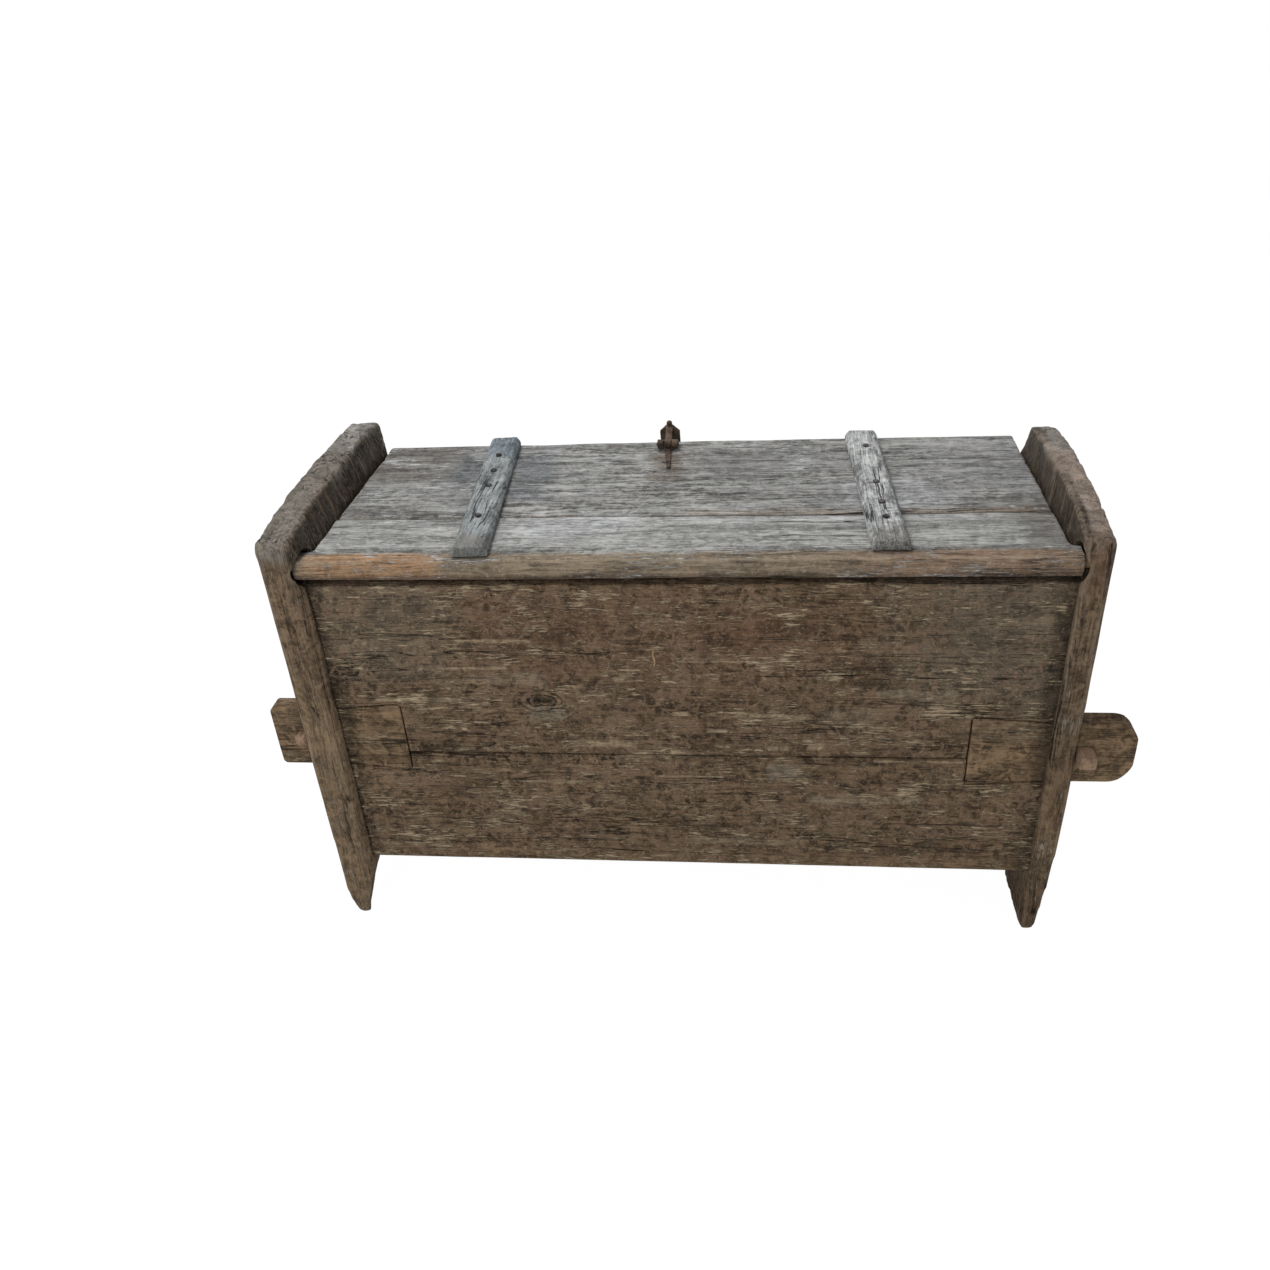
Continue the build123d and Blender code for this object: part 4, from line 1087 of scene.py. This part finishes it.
# %% The splinter on the hinge wall
SLIVER_SIDES = 8
SLIVER_STANDS_IN = 0.0006
sliver_path = (
    (-0.044, -0.136, 0.0004),
    (-0.041, -0.142, 0.0011),
    (-0.0435, -0.149, 0.0015),
    (-0.041, -0.156, 0.0017),
    (-0.0405, -0.163, 0.0013),
    (-0.043, -0.171, 0.0004),
)
bm = bmesh.new()
rings = []
for x, z, radius in sliver_path:
    ring = []
    for k in range(SLIVER_SIDES):
        turn = math.tau * k / SLIVER_SIDES
        y = front_y + SLIVER_STANDS_IN + radius * math.sin(turn)
        ring.append(bm.verts.new((x + radius * math.cos(turn), y, lid_top_z + z)))
    rings.append(ring)
for above, below in zip(rings, rings[1:]):
    for k in range(SLIVER_SIDES):
        after = (k + 1) % SLIVER_SIDES
        bm.faces.new((above[k], above[after], below[after], below[k]))
bm.faces.new(rings[0][::-1])
bm.faces.new(rings[-1])
bmesh.ops.recalc_face_normals(bm, faces=bm.faces)
sliver_mesh = bpy.data.meshes.new("wall_splinter")
bm.to_mesh(sliver_mesh)
bm.free()
sliver_mesh.shade_smooth()
splinter = bpy.data.objects.new("wall_splinter", sliver_mesh)
studio.objects.link(splinter)
rounder = splinter.modifiers.new("rounder", "SUBSURF")
rounder.levels = 2
rounder.render_levels = 2
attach(splinter, "case")
print("splinter", round(1000 * (sliver_path[0][1] - sliver_path[-1][1])), "mm long")

# %% [markdown]
# ### Fresh wood
# The sliver broke off later than the wall darkened, so its wood is still pale and clean, with
# hardly any relief.

# %% Finish the splinter
splinter_tan = wood_finish(
    "fresh_splinter_wood", "z", dark=(0.2, 0.13, 0.07), light=(0.5, 0.36, 0.22),
    blotch=(0.35, 0.24, 0.14), blotches=0.3, relief=0.3,
)
paint([splinter], splinter_tan)
print("splinter finish:", splinter_tan.name)

# %% [markdown]
# ## Pegs and pins
# Small round-worn pegs lock the tenons, and the lid turns on two wooden pins. They were made of a
# paler wood and are still the lightest brown on the chest.

# %% Pegs and pivot pins
pegs = [
    worn_board(f"{side}_{end}_peg", "y", 61 + k, 0.0014, rounding=9, chips=0.0012, sink=0.0008)
    for k, (side, end) in enumerate(CORNERS)
]
pins = [
    worn_board(f"{side}_pivot_pin", "x", 71 + k, 0.0014, rounding=4, chips=0.0004, sink=0.0004)
    for k, side in enumerate(("left", "right"))
]
peg_tan = wood_finish(
    "peg_wood", "y", dark=(0.16, 0.1, 0.065), light=(0.42, 0.285, 0.19), blotch=(0.3, 0.2, 0.14),
    scratch=(0.35, 0.27, 0.2), rubbed=(0.33, 0.25, 0.18), blotches=0.4, rub=0.5, crack_width=0.006,
    relief=0.6, seed=3.4,
)
paint(pegs + pins, peg_tan)
print("pegs and pins:", [len(b.data.vertices) for b in pegs + pins], "points")

# %% [markdown]
# ## The floor of the chest
# Three rough sawn boards that have seen little light. They show when the lid is open.

# %% Floor boards
floor_boards = [
    worn_board(f"floor_board_{part}", "x", 81 + k, 0.005, rounding=3, chips=0.001, sink=0.0012)
    for k, part in enumerate(("hinge_side", "middle", "latch_side"))
]
floor_tan = wood_finish(
    "floor_wood", "x", dark=(0.1, 0.068, 0.042), light=(0.26, 0.19, 0.125),
    blotch=(0.16, 0.12, 0.08), scuffs=0.3, seed=9.6,
)
paint(floor_boards, floor_tan)
print("floor boards:", [len(b.data.vertices) for b in floor_boards], "points")

# %% [markdown]
# ## Wrought iron
# The hasp, its strap, the staple and the nails are hammered iron under a thick coat of rust. Rust
# is never one brown: it runs from nearly black, where it is hard, to orange in the pits. The nails
# in the battens are grey, like the wood round them.

# %% Iron finish
def iron_finish(name, hard, crust, pits, bare_colour):
    """Old iron: hard dark scale, a browner crust over it, pits, and rubbed arrises."""
    finish = bpy.data.materials.new(name)
    finish.use_nodes = True
    tree = finish.node_tree
    shader = tree.nodes["Principled BSDF"]
    coords = tree.nodes.new("ShaderNodeTexCoord").outputs["Object"]
    broad = noise(tree, coords, 60.0, 5.0, 0.65)
    fine = noise(tree, coords, 420.0, 5.0, 0.7)
    colour = mix_colour(tree, between(tree, broad, 0.4, 0.6), hard, crust)
    colour = mix_colour(tree, between(tree, fine, 0.52, 0.66), colour, pits)
    reading = tree.nodes.new("ShaderNodeAttribute")
    reading.attribute_name = "arris"
    arris = use_group(tree, arris_group, {"Arris": reading.outputs["Fac"], "Start": 0.1, "Full": 0.7})
    link(layer(tree, colour, arris["Rubbed"], 0.55, bare_colour), shader.inputs["Base Color"])
    link(between(tree, fine, 0.4, 0.6, 0.5, 0.85), shader.inputs["Roughness"])
    link(between(tree, broad, 0.4, 0.6, 0.65, 0.2), shader.inputs["Metallic"])
    bump = tree.nodes.new("ShaderNodeBump")
    bump.inputs["Distance"].default_value = 0.0015
    link(math_node(tree, "ADD", fine, broad), bump.inputs["Height"])
    link(bump.outputs["Normal"], shader.inputs["Normal"])
    return finish


rusted = iron_finish(
    "rusted_iron", hard=(0.028, 0.02, 0.015), crust=(0.085, 0.055, 0.036), pits=(0.17, 0.09, 0.045),
    bare_colour=(0.2, 0.165, 0.13),
)
nail_grey = iron_finish(
    "grey_nail_iron", hard=(0.03, 0.029, 0.028), crust=(0.09, 0.085, 0.08), pits=(0.13, 0.1, 0.075),
    bare_colour=(0.25, 0.25, 0.24),
)
print("iron finishes:", rusted.name, nail_grey.name)

# %% [markdown]
# ### Hasp, strap, staple and nails
# These are small, so their squares are small too, about a millimetre. The heads of the nails that
# hold the floor are so dirty that they look like the wall, and they take its finish.

# %% Iron work
iron_work = [
    ("hasp", 0.001, rusted),
    ("hasp_strap", 0.001, rusted),
    ("hasp_pin", 0.0008, rusted),
    ("wall_staple", 0.0009, rusted),
    ("strap_nails", 0.0007, rusted),
    ("left_batten_nails", 0.0009, nail_grey),
    ("right_batten_nails", 0.0009, nail_grey),
    ("floor_nails", 0.0011, wall_brown),
]
for k, (node, voxel, finish) in enumerate(iron_work):
    piece = worn_board(node, "x", 91 + k, voxel, rounding=3, chips=0.0006, sink=0.0004)
    paint([piece], finish)
    print(piece.name, len(piece.data.vertices), "points")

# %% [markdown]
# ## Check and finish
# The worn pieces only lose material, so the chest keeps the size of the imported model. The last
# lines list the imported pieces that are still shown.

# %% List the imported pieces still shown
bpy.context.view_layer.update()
left_over = [n for n in nodes if not nodes[n].hide_render]
print("CAD pieces still shown:", left_over)
